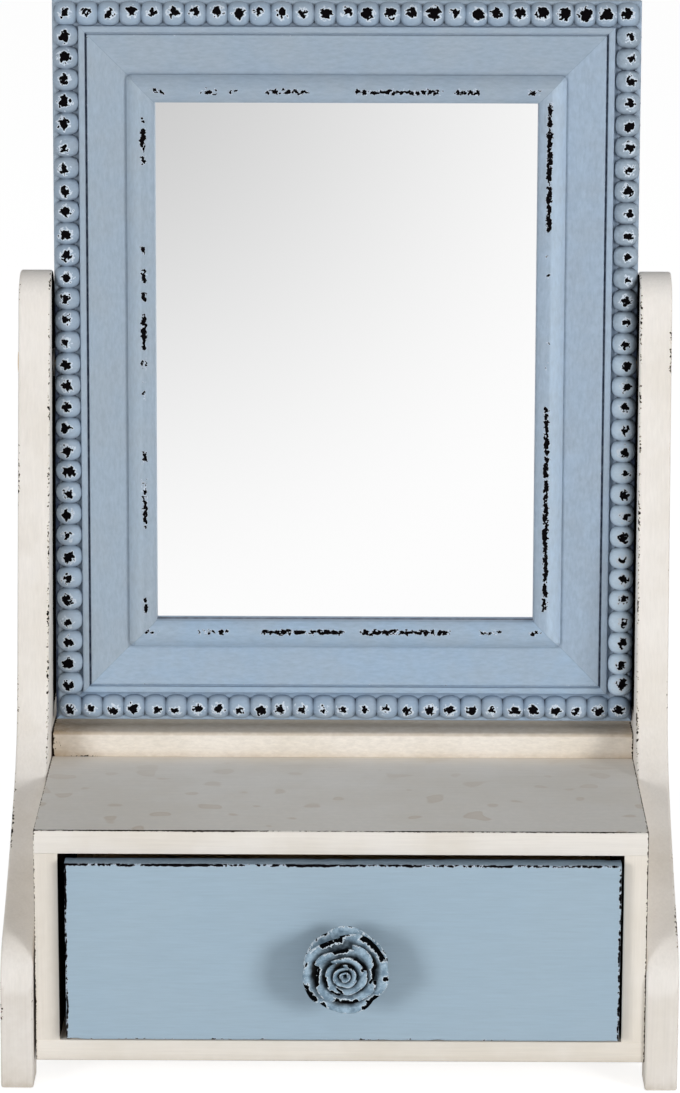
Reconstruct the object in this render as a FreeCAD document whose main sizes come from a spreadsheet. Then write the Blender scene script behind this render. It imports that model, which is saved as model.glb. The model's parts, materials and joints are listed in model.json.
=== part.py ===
# Vanity mirror with drawer: a beaded frame with a mirror glass swings between the uprights of two
# shaped side panels, above a low cabinet with one drawer.
#
# Millimetres, +Z up. Each piece is drawn with Y = 0 at the cabinet's front face, the viewer on the
# -Y side, and the mirror's pieces are drawn upright about their pivot axis. Placements then lean the
# mirror and set the origin below the middle of the whole object, on the table.
import FreeCAD, Part
import Sketcher
import math
import os
import re

Vector = FreeCAD.Vector
Rotation = FreeCAD.Rotation
Placement = FreeCAD.Placement

SIZES = {
    # side panels and their foot arch
    "gap_wide": 334.0,
    "panel_thick": 18.0,
    "panel_back": 190.0,
    "foot_front": -3.0,
    "foot_rise": 58.0,
    "foot_round": 30.0,
    "foot_turn": 70.0,
    "neck_rise": 190.0,
    "neck_lean": 7.8,
    "neck_round": 75.0,
    "neck_turn": 50.0,
    "sweep_round": 500.0,
    "top_rise": 408.0,
    "top_round": 18.0,
    "arch_high": 15.0,
    "arch_round": 9.0,
    "foot_deep": 22.0,
    "heel_deep": 24.0,
    "arris": 1.2,
    "glide_high": 1.2,
    "glide_wide": 10.0,
    # cabinet
    "cabinet_low": 16.0,
    "cabinet_high": 148.0,
    "cabinet_deep": 186.0,
    "floor_thick": 12.0,
    "roof_thick": 13.0,
    "wall_thick": 13.0,
    "rebate": 6.0,
    "ply_thick": 4.0,
    "rail_front": 142.0,
    "rail_back": 170.0,
    "rail_high": 14.0,
    "rail_round": 2.0,
    "peg_round": 3.0,
    "peg_down": 8.0,
    "peg_up": 9.0,
    "tongue_thick": 5.0,
    "tongue_deep": 5.0,
    "tongue_front": 10.0,
    # loose tongues between the cabinet's walls and the side panels
    "spline_front": 60.0,
    "spline_rear": 140.0,
    "spline_low": 50.0,
    "spline_top": 110.0,
    "spline_wide": 50.0,
    "spline_thick": 4.0,
    "spline_reach": 6.0,
    # drawer
    "drawer_shift": 1.2,
    "drawer_proud": 8.0,
    "front_wide": 302.0,
    "front_high": 100.6,
    "front_thick": 12.0,
    "front_gap": 3.2,
    "box_wide": 298.0,
    "box_high": 85.0,
    "box_thick": 9.0,
    "tray_low": 6.0,
    "tray_thick": 4.0,
    "tray_groove": 4.0,
    # rose knob and its screw
    "knob_rise": 78.8,
    "knob_across": 2.7,
    "knob_reach": 32.0,
    "knob_wide": 44.6,
    "outer_petals": 5.0,
    "inner_petals": 4.0,
    "bolt_round": 2.0,
    "bolt_clear": 2.25,
    "bolt_in": 12.0,
    "bolt_head_round": 4.4,
    "bolt_head_high": 2.6,
    # mirror: pivot, outline, beads
    "pivot_deep": 172.0,
    "pivot_rise": 373.0,
    "mirror_shift": 1.2,
    "mirror_tilt": 3.7,
    "mirror_wide": 330.6,
    "mirror_tall": 410.6,
    "pivot_in": 8.0,
    "ledge_proud": 0.8,
    "bead_size": 14.0,
    "beads_across": 27.0,
    "beads_down": 33.0,
    # mirror moulding, from its outer edge inwards and from its back forwards
    "ledge_wide": 14.8,
    "ledge_high": 12.0,
    "strip_wide": 3.6,
    "strip_high": 15.5,
    "groove_wide": 1.0,
    "groove_high": 13.5,
    "band_wide": 22.4,
    "band_high": 15.2,
    "band_low": 12.2,
    "inner_high": 14.0,
    "crest_wide": 9.8,
    "crest_high": 18.5,
    "sight_wide": 5.7,
    "sight_high": 15.5,
    "rabbet_wide": 8.5,
    "rabbet_high": 8.5,
    "glass_play": 0.8,
    "glass_thick": 3.0,
    "backing_thick": 3.0,
    # glazing points and mitre fasteners
    "point_long": 6.0,
    "point_half": 4.0,
    "point_thick": 0.6,
    "wedge_long": 14.0,
    "wedge_thick": 0.8,
    "wedge_deep": 7.0,
    "wedge_in": 25.0,
    "wedge_step": 9.0,
    # pivot hardware
    "pivot_round": 2.5,
    "pivot_play": 0.05,
    "pivot_long": 12.0,
    "head_round": 7.0,
    "head_high": 2.4,
    "head_play": 0.5,
    "insert_round": 3.8,
    "insert_long": 14.0,
    "washer_out": 8.0,
}

doc = FreeCAD.newDocument("VanityMirror")
sheet = doc.addObject("Spreadsheet::Sheet", "Sizes")
for row, (alias, value) in enumerate(SIZES.items(), start=1):
    sheet.set(f"A{row}", alias)
    sheet.set(f"B{row}", str(value))
    sheet.setAlias(f"B{row}", alias)
doc.recompute()

pieces = []


def bound(text):
    """The text of a size with each word that the sheet knows made a reference to its cell."""
    return re.sub(r"[a-z_]+", lambda word: "Sizes." + word[0] if word[0] in SIZES else word[0], str(text))


def size(text):
    """The number that a size text comes to now."""
    return float(sheet.evalExpression(bound(text)))


# ---------------------------------------------------------------- sketches and features

# The plane that a piece is drawn on when it is raised along an axis, and the sign of its normal.
# Across and up in the sketch are Y and Z for X, X and Z for Y, X and Y for Z.
PLANES = {"X": ("YZ_Plane", 1), "Y": ("XZ_Plane", -1), "Z": ("XY_Plane", 1)}


def new_body(label, place):
    body = doc.addObject("PartDesign::Body", label)
    body.Label = label
    body.Placement = place
    pieces.append(body)
    return body


def new_sketch(body, axis, start):
    """An empty sketch square to an axis of the body, at the place start along it."""
    role, sign = PLANES[axis]
    sketch = body.newObject("Sketcher::SketchObject", body.Label + "_sketch")
    plane = [item for item in body.Origin.OriginFeatures if item.Role == role]
    sketch.AttachmentSupport = [(plane[0], "")]
    sketch.MapMode = "FlatFace"
    sketch.setExpression("AttachmentOffset.Base.z", bound(f"{sign} * ({start})"))
    return sketch


def corner(text_pair):
    return Vector(size(text_pair[0]), size(text_pair[1]), 0)


def arc_between(start, end, radius, turn):
    """The arc under half a circle from start to end, whose path turns left (+1) or right (-1)."""
    chord = end - start
    middle = (start + end) * 0.5
    left = Vector(-chord.y, chord.x, 0).normalize()
    rise = radius - math.sqrt(radius**2 - (chord.Length / 2) ** 2)
    return Part.Arc(start, middle - left * (turn * rise), end)


def pin_point(sketch, name, geometry, end, place):
    """Holds one end of an edge at a place, by two sizes bound to the sheet."""
    for kind, text in zip(("DistanceX", "DistanceY"), place):
        index = sketch.addConstraint(Sketcher.Constraint(kind, -1, 1, geometry, end, size(text)))
        sketch.renameConstraint(index, f"{name}_{kind[-1]}")
        sketch.setExpression(f"Constraints.{name}_{kind[-1]}", bound(text))


def trace(sketch, corners):
    """Draws a closed outline. A corner is (across, up) before a straight edge, and
    (across, up, radius, turn) before an arc that turns left (+1) or right (-1)."""
    first = sketch.GeometryCount
    count = len(corners)
    starts = [corner(item) for item in corners]
    for number, item in enumerate(corners):
        start = starts[number]
        end = starts[(number + 1) % count]
        if len(item) == 2:
            edge = sketch.addGeometry(Part.LineSegment(start, end))
        else:
            edge = sketch.addGeometry(arc_between(start, end, size(item[2]), item[3]))
            radius = sketch.addConstraint(Sketcher.Constraint("Radius", edge, size(item[2])))
            sketch.renameConstraint(radius, f"round_{edge}")
            sketch.setExpression(f"Constraints.round_{edge}", bound(item[2]))
    for number, item in enumerate(corners):
        edge = first + number
        before = first + (number - 1) % count
        tail = ends_of(corners[number - 1])[1]
        head = ends_of(item)[0]
        sketch.addConstraint(Sketcher.Constraint("Coincident", before, tail, edge, head))
        pin_point(sketch, f"corner_{edge}", edge, head, item[:2])


def ends_of(item):
    """Which ends of the edge after a corner come first and last: an arc runs to the left."""
    return (2, 1) if len(item) == 4 and item[3] < 0 else (1, 2)


def rectangle(left, right, low, high):
    return [(left, low), (right, low), (right, high), (left, high)]


def raise_outline(body, axis, start, length, corners):
    """A pad of the outline from start, length long, towards the axis's plus side."""
    sketch = new_sketch(body, axis, start)
    trace(sketch, corners)
    pad = body.newObject("PartDesign::Pad", body.Label + "_pad")
    pad.Profile = sketch
    pad.setExpression("Length", bound(length))
    pad.Reversed = PLANES[axis][1] < 0
    doc.recompute()
    return pad


def cut_sketch(body, sketch, axis, length, toward):
    """Pockets what the sketch holds, towards the axis's plus (+1) or minus (-1) side."""
    before = body.Shape.Volume
    pocket = body.newObject("PartDesign::Pocket", body.Label + "_pocket")
    pocket.Profile = sketch
    pocket.setExpression("Length", bound(length))
    pocket.Reversed = toward == PLANES[axis][1]
    doc.recompute()
    if not body.Shape.Volume < before - 0.01:
        raise ValueError(f"a pocket in {body.Label} cuts nothing")


def cut_outlines(body, axis, start, length, toward, outlines):
    sketch = new_sketch(body, axis, start)
    for corners in outlines:
        trace(sketch, corners)
    cut_sketch(body, sketch, axis, length, toward)


def draw_circles(body, axis, start, centres, radius):
    sketch = new_sketch(body, axis, start)
    for centre in centres:
        edge = sketch.addGeometry(Part.Circle(corner(centre), Vector(0, 0, 1), size(radius)))
        index = sketch.addConstraint(Sketcher.Constraint("Radius", edge, size(radius)))
        sketch.renameConstraint(index, f"hole_{edge}")
        sketch.setExpression(f"Constraints.hole_{edge}", bound(radius))
        pin_point(sketch, f"centre_{edge}", edge, 3, centre)
    return sketch


def drill(body, axis, start, length, toward, centres, radius):
    """Round holes at the centres, each (across, up), from start along the axis."""
    cut_sketch(body, draw_circles(body, axis, start, centres, radius), axis, length, toward)


def board(label, place, axis, start, length, corners):
    body = new_body(label, place)
    raise_outline(body, axis, start, length, corners)
    return body


def ease(body, radius, chosen):
    """Rounds the edges of a body for which chosen(edge) holds."""
    names = [f"Edge{n}" for n, edge in enumerate(body.Shape.Edges, start=1) if chosen(edge)]
    if not names:
        raise ValueError(f"{body.Label} has no such edge to round")
    tip = body.Tip
    fillet = body.newObject("PartDesign::Fillet", body.Label + "_fillet")
    fillet.Base = (tip, names)
    fillet.setExpression("Radius", bound(radius))
    doc.recompute()


def lies_on(edge, **planes):
    """Whether an edge lies in every plane named, such as z="cabinet_high", as the pieces stand."""
    return all(
        abs(getattr(point.Point, axis) - getattr(to_origin, axis) - size(text)) < 0.01
        for axis, text in planes.items()
        for point in edge.Vertexes
    )


def plain_part(label, shape, place):
    """A piece, or a group of like pieces, whose shape is made with Part's own functions."""
    part = doc.addObject("Part::Feature", label)
    part.Label = label
    part.Shape = shape
    part.Placement = place * shape.Placement
    pieces.append(part)
    return part


def prism(outline, axis, start, length):
    """A solid with an outline of (across, up) texts, raised from start along the axis."""
    order = {"X": (2, 0, 1), "Y": (0, 2, 1), "Z": (0, 1, 2)}[axis]
    points = []
    for across, up in outline:
        values = (size(across), size(up), size(start))
        points.append(Vector(*(values[place] for place in order)))
    face = Part.Face(Part.makePolygon(points + points[:1]))
    direction = Vector(*(float(axis == name) for name in "XYZ"))
    return face.extrude(direction * size(length))


def turned(profile, base, direction):
    """A solid turned about the line through base along direction. The profile is a list of
    (along, radius) from one end of the line to the other."""
    ends = [(profile[0][0], 0.0)] + list(profile) + [(profile[-1][0], 0.0)]
    points = [Vector(radius, 0, along) for along, radius in ends]
    face = Part.Face(Part.makePolygon(points + points[:1]))
    solid = face.revolve(Vector(0, 0, 0), Vector(0, 0, 1), 360)
    solid.Placement = Placement(base, Rotation(Vector(0, 0, 1), direction))
    return solid


# ---------------------------------------------------------------- where the pieces stand

mirror_back = size("pivot_deep + mirror_tall / 2 * sin(mirror_tilt) + pivot_in * cos(mirror_tilt)")
knob_front = -size("drawer_proud + knob_reach")
to_origin = Vector(0, -(mirror_back + knob_front) / 2, 0)
pivot = Vector(size("mirror_shift"), size("pivot_deep"), size("pivot_rise"))

BASE = Placement(to_origin, Rotation())
DRAWER = BASE
MIRROR = Placement(to_origin + pivot, Rotation(Vector(1, 0, 0), -size("mirror_tilt")))


# ---------------------------------------------------------------- side panels

def panel_outline():
    """Foot with its arch, straight back, round top, leaning front edge and the S of the sweep."""
    floor = "glide_high"
    arch_top = "glide_high + arch_high"
    arch_shoulder = "glide_high + arch_high - arch_round"
    arch_front = "foot_front + foot_deep"
    arch_back = "panel_back - heel_deep"
    centre = "panel_back - top_round"
    tangent = (f"{centre} - top_round * cos(neck_lean)", "top_rise + top_round * sin(neck_lean)")
    neck_front = f"{tangent[0]} - ({tangent[1]} - neck_rise) * tan(neck_lean)"
    neck_end = (
        f"{neck_front} - neck_round * (cos(neck_lean) - cos(neck_turn))",
        "neck_rise + neck_round * (sin(neck_lean) - sin(neck_turn))",
    )
    crease = (
        "foot_front + foot_round * (1 - cos(foot_turn))",
        "foot_rise + foot_round * sin(foot_turn)",
    )
    return [
        ("foot_front", floor),
        (arch_front, floor),
        (arch_front, arch_shoulder, "arch_round", -1),
        (f"{arch_front} + arch_round", arch_top),
        (f"{arch_back} - arch_round", arch_top, "arch_round", -1),
        (arch_back, arch_shoulder),
        (arch_back, floor),
        ("panel_back", floor),
        ("panel_back", "top_rise", "top_round", 1),
        (centre, "top_rise + top_round", "top_round", 1),
        (*tangent,),
        (neck_front, "neck_rise", "neck_round", -1),
        (*neck_end, "sweep_round", -1),
        (*crease, "foot_round", 1),
        ("foot_front", "foot_rise"),
    ]



HALF_GAP = "gap_wide / 2"
PANELS = {"left": ("-gap_wide / 2 - panel_thick", -1), "right": ("gap_wide / 2", 1)}
SPLINES = [
    rectangle(
        f"{deep} - spline_wide / 2",
        f"{deep} + spline_wide / 2",
        f"{rise} - spline_thick / 2",
        f"{rise} + spline_thick / 2",
    )
    for deep, rise in (("spline_front", "spline_low"), ("spline_rear", "spline_top"))
]


def side_panel(side):
    start, sign = PANELS[side]
    body = board(f"{side}_side_panel", BASE, "X", start, "panel_thick", panel_outline())
    inner_face = f"{sign} * {HALF_GAP}"
    outer_face = f"{sign} * ({HALF_GAP} + panel_thick)"
    pivot_place = [("pivot_deep", "pivot_rise")]
    drill(body, "X", inner_face, "panel_thick", sign, pivot_place, "pivot_round + pivot_play")
    drill(body, "X", outer_face, "head_high", -sign, pivot_place, "head_round + head_play")
    cut_outlines(body, "X", inner_face, "spline_reach", sign, SPLINES)
    return body


for side in PANELS:
    side_panel(side)

glide_wide = size("glide_wide")
glide_across = size("gap_wide / 2 + panel_thick / 2")
glides = [
    Part.makeBox(
        glide_wide, glide_wide, size("glide_high"), Vector(across - glide_wide / 2, deep - glide_wide / 2, 0)
    )
    for across in (-glide_across, glide_across)
    for deep in (size("foot_front + foot_deep / 2"), size("panel_back - heel_deep / 2"))
]
plain_part("foot_glides", Part.makeCompound(glides), BASE)


# ---------------------------------------------------------------- cabinet

FLOOR_TOP = "(cabinet_low + floor_thick)"
ROOF_LOW = "(cabinet_high - roof_thick)"
WALL_IN = f"({HALF_GAP} - wall_thick)"
BACK_HALF = f"({WALL_IN} + rebate)"
PLY_FRONT = "(cabinet_deep - ply_thick)"
TONGUE_IN = f"({HALF_GAP} - wall_thick / 2 - tongue_thick / 2)"
RAIL_MIDDLE = "((rail_front + rail_back) / 2)"
PEGS_ACROSS = ["-gap_wide / 3", "gap_wide / 3"]

full_board = rectangle(f"-{HALF_GAP}", HALF_GAP, "0", "cabinet_deep")
back_rebate = rectangle(f"-{BACK_HALF}", BACK_HALF, PLY_FRONT, "cabinet_deep")
tongue_grooves = [
    rectangle(f"-({TONGUE_IN} + tongue_thick)", f"-{TONGUE_IN}", "tongue_front", PLY_FRONT),
    rectangle(TONGUE_IN, f"({TONGUE_IN} + tongue_thick)", "tongue_front", PLY_FRONT),
]
peg_places = [(across, RAIL_MIDDLE) for across in PEGS_ACROSS]

bottom = board("cabinet_bottom", BASE, "Z", "cabinet_low", "floor_thick", full_board)
cut_outlines(bottom, "Z", FLOOR_TOP, "rebate", -1, [back_rebate])
cut_outlines(bottom, "Z", FLOOR_TOP, "tongue_deep", -1, tongue_grooves)

top = board("cabinet_top", BASE, "Z", ROOF_LOW, "roof_thick", full_board)
cut_outlines(top, "Z", ROOF_LOW, "rebate", 1, [back_rebate])
cut_outlines(top, "Z", ROOF_LOW, "tongue_deep", 1, tongue_grooves)
drill(top, "Z", "cabinet_high", "peg_down", -1, peg_places, "peg_round")
ease(top, "arris", lambda edge: lies_on(edge, y="0", z="cabinet_high"))

for side, (start, sign) in {"left": (f"-{HALF_GAP}", -1), "right": (WALL_IN, 1)}.items():
    outline = rectangle("0", "cabinet_deep", FLOOR_TOP, ROOF_LOW)
    wall = board(f"cabinet_{side}_wall", BASE, "X", start, "wall_thick", outline)
    wall_rebate = rectangle(PLY_FRONT, "cabinet_deep", FLOOR_TOP, ROOF_LOW)
    cut_outlines(wall, "X", f"{sign} * {WALL_IN}", "rebate", sign, [wall_rebate])
    tongue_start = TONGUE_IN if sign > 0 else f"-({TONGUE_IN} + tongue_thick)"
    tongues = rectangle("tongue_front", PLY_FRONT, f"{FLOOR_TOP} - tongue_deep", f"{ROOF_LOW} + tongue_deep")
    raise_outline(wall, "X", tongue_start, "tongue_thick", tongues)
    cut_outlines(wall, "X", f"{sign} * {HALF_GAP}", "spline_reach", -sign, SPLINES)

back_outline = rectangle(f"-{BACK_HALF}", BACK_HALF, f"{FLOOR_TOP} - rebate", f"{ROOF_LOW} + rebate")
board("cabinet_back", BASE, "Y", PLY_FRONT, "ply_thick", back_outline)

rail_top = "cabinet_high + rail_high"
rail_outline = [
    ("rail_front", "cabinet_high"),
    ("rail_back", "cabinet_high"),
    ("rail_back", rail_top),
    ("rail_front + rail_round", rail_top, "rail_round", 1),
    ("rail_front", f"{rail_top} - rail_round"),
]
rail = board("back_rail", BASE, "X", f"-{HALF_GAP}", "gap_wide", rail_outline)
drill(rail, "Z", "cabinet_high", "peg_up", 1, peg_places, "peg_round")

peg = Part.makeCylinder(size("peg_round"), size("peg_down + peg_up"))
pegs = [
    peg.translated(Vector(size(across), size(RAIL_MIDDLE), size("cabinet_high - peg_down")))
    for across in PEGS_ACROSS
]
plain_part("rail_dowels", Part.makeCompound(pegs), BASE)


splines = [
    prism(outline, "X", f"{sign} * {HALF_GAP} - spline_reach", "2 * spline_reach")
    for outline in SPLINES
    for sign in (-1, 1)
]
plain_part("cabinet_splines", Part.makeCompound(splines), BASE)


# ---------------------------------------------------------------- drawer

BOX_HALF = "(box_wide / 2)"
BOARD_BACK = "(front_thick - drawer_proud)"
TRAY_LOW = f"({FLOOR_TOP} + tray_low)"
TRAY_TOP = f"({TRAY_LOW} + tray_thick)"
TRAY_HALF = f"({BOX_HALF} - box_thick + tray_groove)"
FRONT_LOW = f"({FLOOR_TOP} + front_gap)"

tray_slot = rectangle(f"drawer_shift - {TRAY_HALF}", f"drawer_shift + {TRAY_HALF}", TRAY_LOW, TRAY_TOP)
front_outline = rectangle(
    "drawer_shift - front_wide / 2", "drawer_shift + front_wide / 2", FRONT_LOW, f"{FRONT_LOW} + front_high"
)
front = board("drawer_front", DRAWER, "Y", "-drawer_proud", "front_thick", front_outline)
ease(front, "arris", lambda edge: lies_on(edge, y="-drawer_proud"))
cut_outlines(front, "Y", BOARD_BACK, "tray_groove", -1, [tray_slot])
drill(front, "Y", BOARD_BACK, "front_thick", -1, [("knob_across", "knob_rise")], "bolt_clear")

for side, (start, sign) in {
    "left": (f"drawer_shift - {BOX_HALF}", -1),
    "right": (f"drawer_shift + {BOX_HALF} - box_thick", 1),
}.items():
    outline = rectangle(BOARD_BACK, PLY_FRONT, FLOOR_TOP, f"{FLOOR_TOP} + box_high")
    drawer_side = board(f"drawer_{side}_side", DRAWER, "X", start, "box_thick", outline)
    inner_face = f"drawer_shift + {sign} * ({BOX_HALF} - box_thick)"
    groove = rectangle(BOARD_BACK, PLY_FRONT, TRAY_LOW, TRAY_TOP)
    cut_outlines(drawer_side, "X", inner_face, "tray_groove", sign, [groove])

back_start = f"drawer_shift - {BOX_HALF} + box_thick"
back_end = f"drawer_shift + {BOX_HALF} - box_thick"
back_board = rectangle(back_start, back_end, TRAY_TOP, f"{FLOOR_TOP} + box_high")
board("drawer_back", DRAWER, "Y", f"{PLY_FRONT} - box_thick", "box_thick", back_board)

tray = rectangle(
    f"drawer_shift - {TRAY_HALF}", f"drawer_shift + {TRAY_HALF}", f"{BOARD_BACK} - tray_groove", PLY_FRONT
)
board("drawer_bottom", DRAWER, "Z", TRAY_LOW, "tray_thick", tray)

# The knob stands on the drawer's face: its own frame has its origin there, and it reaches to -Y.
KNOB = Placement(
    to_origin + Vector(size("knob_across"), -size("drawer_proud"), size("knob_rise")), Rotation()
)


# A turned foot, stem and cup, as (out from the axis, forward from the drawer) shares of the knob.
KNOB_TURNING = [
    (0.00, 0.00),
    (0.29, 0.00),
    (0.29, 0.06),
    (0.15, 0.16),
    (0.15, 0.24),
    (0.29, 0.36),
    (0.00, 0.36),
]
# Each tier's count of petals, its reach as a share of the knob's half width, the angle of its first
# petal, and where the tier starts and ends as shares of the knob's reach.
PETAL_TIERS = [
    ("outer_petals", 1.00, "90", 0.30, 0.84),
    ("outer_petals", 0.73, "54", 0.80, 0.92),
    ("inner_petals", 0.48, "45", 0.90, 0.97),
    ("inner_petals", 0.25, "0", 0.95, 1.00),
]
# Half of a petal's faceted outline, as (out from the axis, aside) shares of its tier's reach.
PETAL_SIDE = [(1.00, 0.17), (0.86, 0.45), (0.56, 0.58), (0.00, 0.20)]


def rose_knob():
    """The turned core with tiers of overlapping petals, each tier smaller and turned half a petal."""
    body = new_body("rose_knob", KNOB)
    sketch = new_sketch(body, "Z", "0")
    trace(sketch, [(f"{out} * knob_wide", f"-{forward} * knob_reach") for out, forward in KNOB_TURNING])
    core = body.newObject("PartDesign::Revolution", "rose_knob_core")
    core.Profile = sketch
    core.ReferenceAxis = (sketch, ["V_Axis"])
    doc.recompute()
    petal_outline = PETAL_SIDE + [(out, -aside) for out, aside in reversed(PETAL_SIDE)]
    for tier, (count, spread, first, low, high) in enumerate(PETAL_TIERS):
        reach = f"{spread} * knob_wide / 2"
        corners = [
            (
                f"{reach} * ({out} * cos({first}) - {aside} * sin({first}))",
                f"{reach} * ({out} * sin({first}) + {aside} * cos({first}))",
            )
            for out, aside in reversed(petal_outline)
        ]
        petal_sketch = new_sketch(body, "Y", f"-knob_reach * {high}")
        trace(petal_sketch, corners)
        petal = body.newObject("PartDesign::Pad", f"rose_knob_petal_{tier}")
        petal.Profile = petal_sketch
        petal.setExpression("Length", bound(f"({high} - {low}) * knob_reach"))
        petal.Reversed = True
        doc.recompute()
        ring = body.newObject("PartDesign::PolarPattern", f"rose_knob_ring_{tier}")
        ring.Originals = [petal]
        ring.Axis = (petal_sketch, ["N_Axis"])
        ring.Angle = 360
        ring.Occurrences = int(size(count))
        body.Tip = ring
        doc.recompute()
    drill(body, "Y", "0", "bolt_in + 0.5", -1, [("0", "0")], "bolt_clear")


rose_knob()

head_start = size("front_thick")
knob_screw = turned(
    [
        (-size("bolt_head_high"), size("bolt_head_round")),
        (0, size("bolt_head_round")),
        (0, size("bolt_round")),
        (head_start + size("bolt_in"), size("bolt_round")),
    ],
    Vector(0, head_start, 0),
    Vector(0, -1, 0),
)
plain_part("knob_screw", knob_screw, KNOB)


# ---------------------------------------------------------------- mirror frame

HALF_WIDE = "mirror_wide / 2"
HALF_TALL = "mirror_tall / 2"
STRIP_IN = "ledge_wide + strip_wide"
BAND_OUT = f"{STRIP_IN} + groove_wide"
INNER_OUT = f"{BAND_OUT} + band_wide"
CREST_IN = f"{INNER_OUT} + crest_wide"
SIGHT_IN = f"{CREST_IN} + sight_wide"
WALL = f"{SIGHT_IN} - rabbet_wide"


def arc_radius(wide, high):
    """The radius of an arc that starts level and falls by high over wide."""
    return f"(({wide})^2 + ({high})^2) / (2 * ({high}))"


# The moulding's section: (from the outer edge inwards, from the back forwards).
MOULDING = [
    ("0", "0"),
    ("0", "ledge_high"),
    ("ledge_wide", "ledge_high"),
    ("ledge_wide", "strip_high"),
    (STRIP_IN, "strip_high"),
    (STRIP_IN, "groove_high"),
    (BAND_OUT, "groove_high"),
    (BAND_OUT, "band_high"),
    (INNER_OUT, "band_low"),
    (INNER_OUT, "inner_high", arc_radius("crest_wide", "crest_high - inner_high")),
    (CREST_IN, "crest_high", arc_radius("sight_wide", "crest_high - sight_high")),
    (SIGHT_IN, "sight_high"),
    (SIGHT_IN, "rabbet_high"),
    (WALL, "rabbet_high"),
    (WALL, "0"),
]


def section_corners(half, sign, across_first):
    """The moulding's section in sketch coordinates for the member on the sign side. The section's
    inward direction is the first sketch coordinate for a stile and the second for a rail."""
    corners = []
    for inward, forward, *arc in MOULDING:
        edge = f"{sign} * ({half} - ({inward}))"
        deep = f"pivot_in - ({forward})"
        place = (edge, deep) if across_first else (deep, edge)
        left_turn = sign if across_first else -sign
        corners.append((*place, arc[0], left_turn) if arc else place)
    return corners


def mitre_triangle(sign_x, sign_z, rail):
    """The waste beyond the mitre at one corner of the frame, seen from the front."""
    beyond = f"({SIGHT_IN} + 5)"
    outer = (f"{sign_x} * {HALF_WIDE}", f"{sign_z} * {HALF_TALL}")
    inner = (f"{sign_x} * ({HALF_WIDE} - {beyond})", f"{sign_z} * ({HALF_TALL} - {beyond})")
    if rail:
        third = (f"{sign_x} * {HALF_WIDE}", inner[1])
    else:
        third = (inner[0], f"{sign_z} * {HALF_TALL}")
    return [outer, inner, third]


def wedge_slot(sign_x, sign_z, inward):
    """The outline of a flat fastener across the mitre, at a place along it."""
    centre = (f"{sign_x} * ({HALF_WIDE} - ({inward}))", f"{sign_z} * ({HALF_TALL} - ({inward}))")
    corners = []
    for along, aside in ((-1, -1), (1, -1), (1, 1), (-1, 1)):
        reach = f"{along} * wedge_long / 2 * sin(45)"
        width = f"{aside} * wedge_thick / 2 * sin(45)"
        corners.append(
            (
                f"{centre[0]} + {sign_x} * ({reach} + {width})",
                f"{centre[1]} - {sign_z} * ({reach} - {width})",
            )
        )
    return corners


WEDGE_PLACES = ["wedge_in - wedge_step", "wedge_in + wedge_step"]
MEMBERS = {
    "frame_top_rail": (0, 1),
    "frame_bottom_rail": (0, -1),
    "frame_left_stile": (-1, 0),
    "frame_right_stile": (1, 0),
}
# Where the glazing points are along a rail (True) and along a stile (False).
POINT_PLACES = {
    True: ["-mirror_wide / 6", "mirror_wide / 6"],
    False: ["-mirror_tall / 5", "0", "mirror_tall / 5"],
}


def point_outline(side_x, side_z, place):
    """The diamond of a glazing point, half in the wood and half over the backing board."""
    if side_z:
        wall = f"{side_z} * ({HALF_TALL} - ({WALL}))"
        return [
            (place, f"{wall} - point_long"),
            (f"{place} + point_half", wall),
            (place, f"{wall} + point_long"),
            (f"{place} - point_half", wall),
        ]
    wall = f"{side_x} * ({HALF_WIDE} - ({WALL}))"
    return [
        (f"{wall} - point_long", place),
        (wall, f"{place} - point_half"),
        (f"{wall} + point_long", place),
        (wall, f"{place} + point_half"),
    ]


BOARD_FACE = "pivot_in - rabbet_high + glass_thick + backing_thick"


def frame_member(label, side_x, side_z):
    is_rail = side_x == 0
    if is_rail:
        axis, half_length, corners = "X", HALF_WIDE, section_corners(HALF_TALL, side_z, False)
        ends = [(-1, side_z), (1, side_z)]
    else:
        axis, half_length, corners = "Z", HALF_TALL, section_corners(HALF_WIDE, side_x, True)
        ends = [(side_x, -1), (side_x, 1)]
    body = board(label, MIRROR, axis, f"-{half_length}", f"2 * {half_length}", corners)
    waste = [mitre_triangle(*end, is_rail) for end in ends]
    cut_outlines(body, "Y", "pivot_in", "2 * crest_high", -1, waste)
    slots = [wedge_slot(*end, inward) for end in ends for inward in WEDGE_PLACES]
    cut_outlines(body, "Y", "pivot_in", "wedge_deep", -1, slots)
    points = [point_outline(side_x, side_z, place) for place in POINT_PLACES[is_rail]]
    cut_outlines(body, "Y", BOARD_FACE, "point_thick", 1, points)
    if not is_rail:
        outer = f"{side_x} * {HALF_WIDE}"
        drill(body, "X", outer, "insert_long", -side_x, [("0", "0")], "insert_round")
    return body


for label, sides in MEMBERS.items():
    frame_member(label, *sides)


wedges = [
    prism(wedge_slot(sign_x, sign_z, inward), "Y", "pivot_in - wedge_deep", "wedge_deep")
    for sign_x in (-1, 1)
    for sign_z in (-1, 1)
    for inward in WEDGE_PLACES
]
plain_part("mitre_fasteners", Part.makeCompound(wedges), MIRROR)

glazing_points = [
    prism(point_outline(*sides, place), "Y", BOARD_FACE, "point_thick")
    for sides in MEMBERS.values()
    for place in POINT_PLACES[sides[0] == 0]
]
plain_part("glazing_points", Part.makeCompound(glazing_points), MIRROR)

glass_half_wide = f"({HALF_WIDE} - ({WALL}) - glass_play)"
glass_half_tall = f"({HALF_TALL} - ({WALL}) - glass_play)"
pane = rectangle(f"-{glass_half_wide}", glass_half_wide, f"-{glass_half_tall}", glass_half_tall)
board("mirror_glass", MIRROR, "Y", "pivot_in - rabbet_high", "glass_thick", pane)
board("backing_board", MIRROR, "Y", "pivot_in - rabbet_high + glass_thick", "backing_thick", pane)


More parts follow.
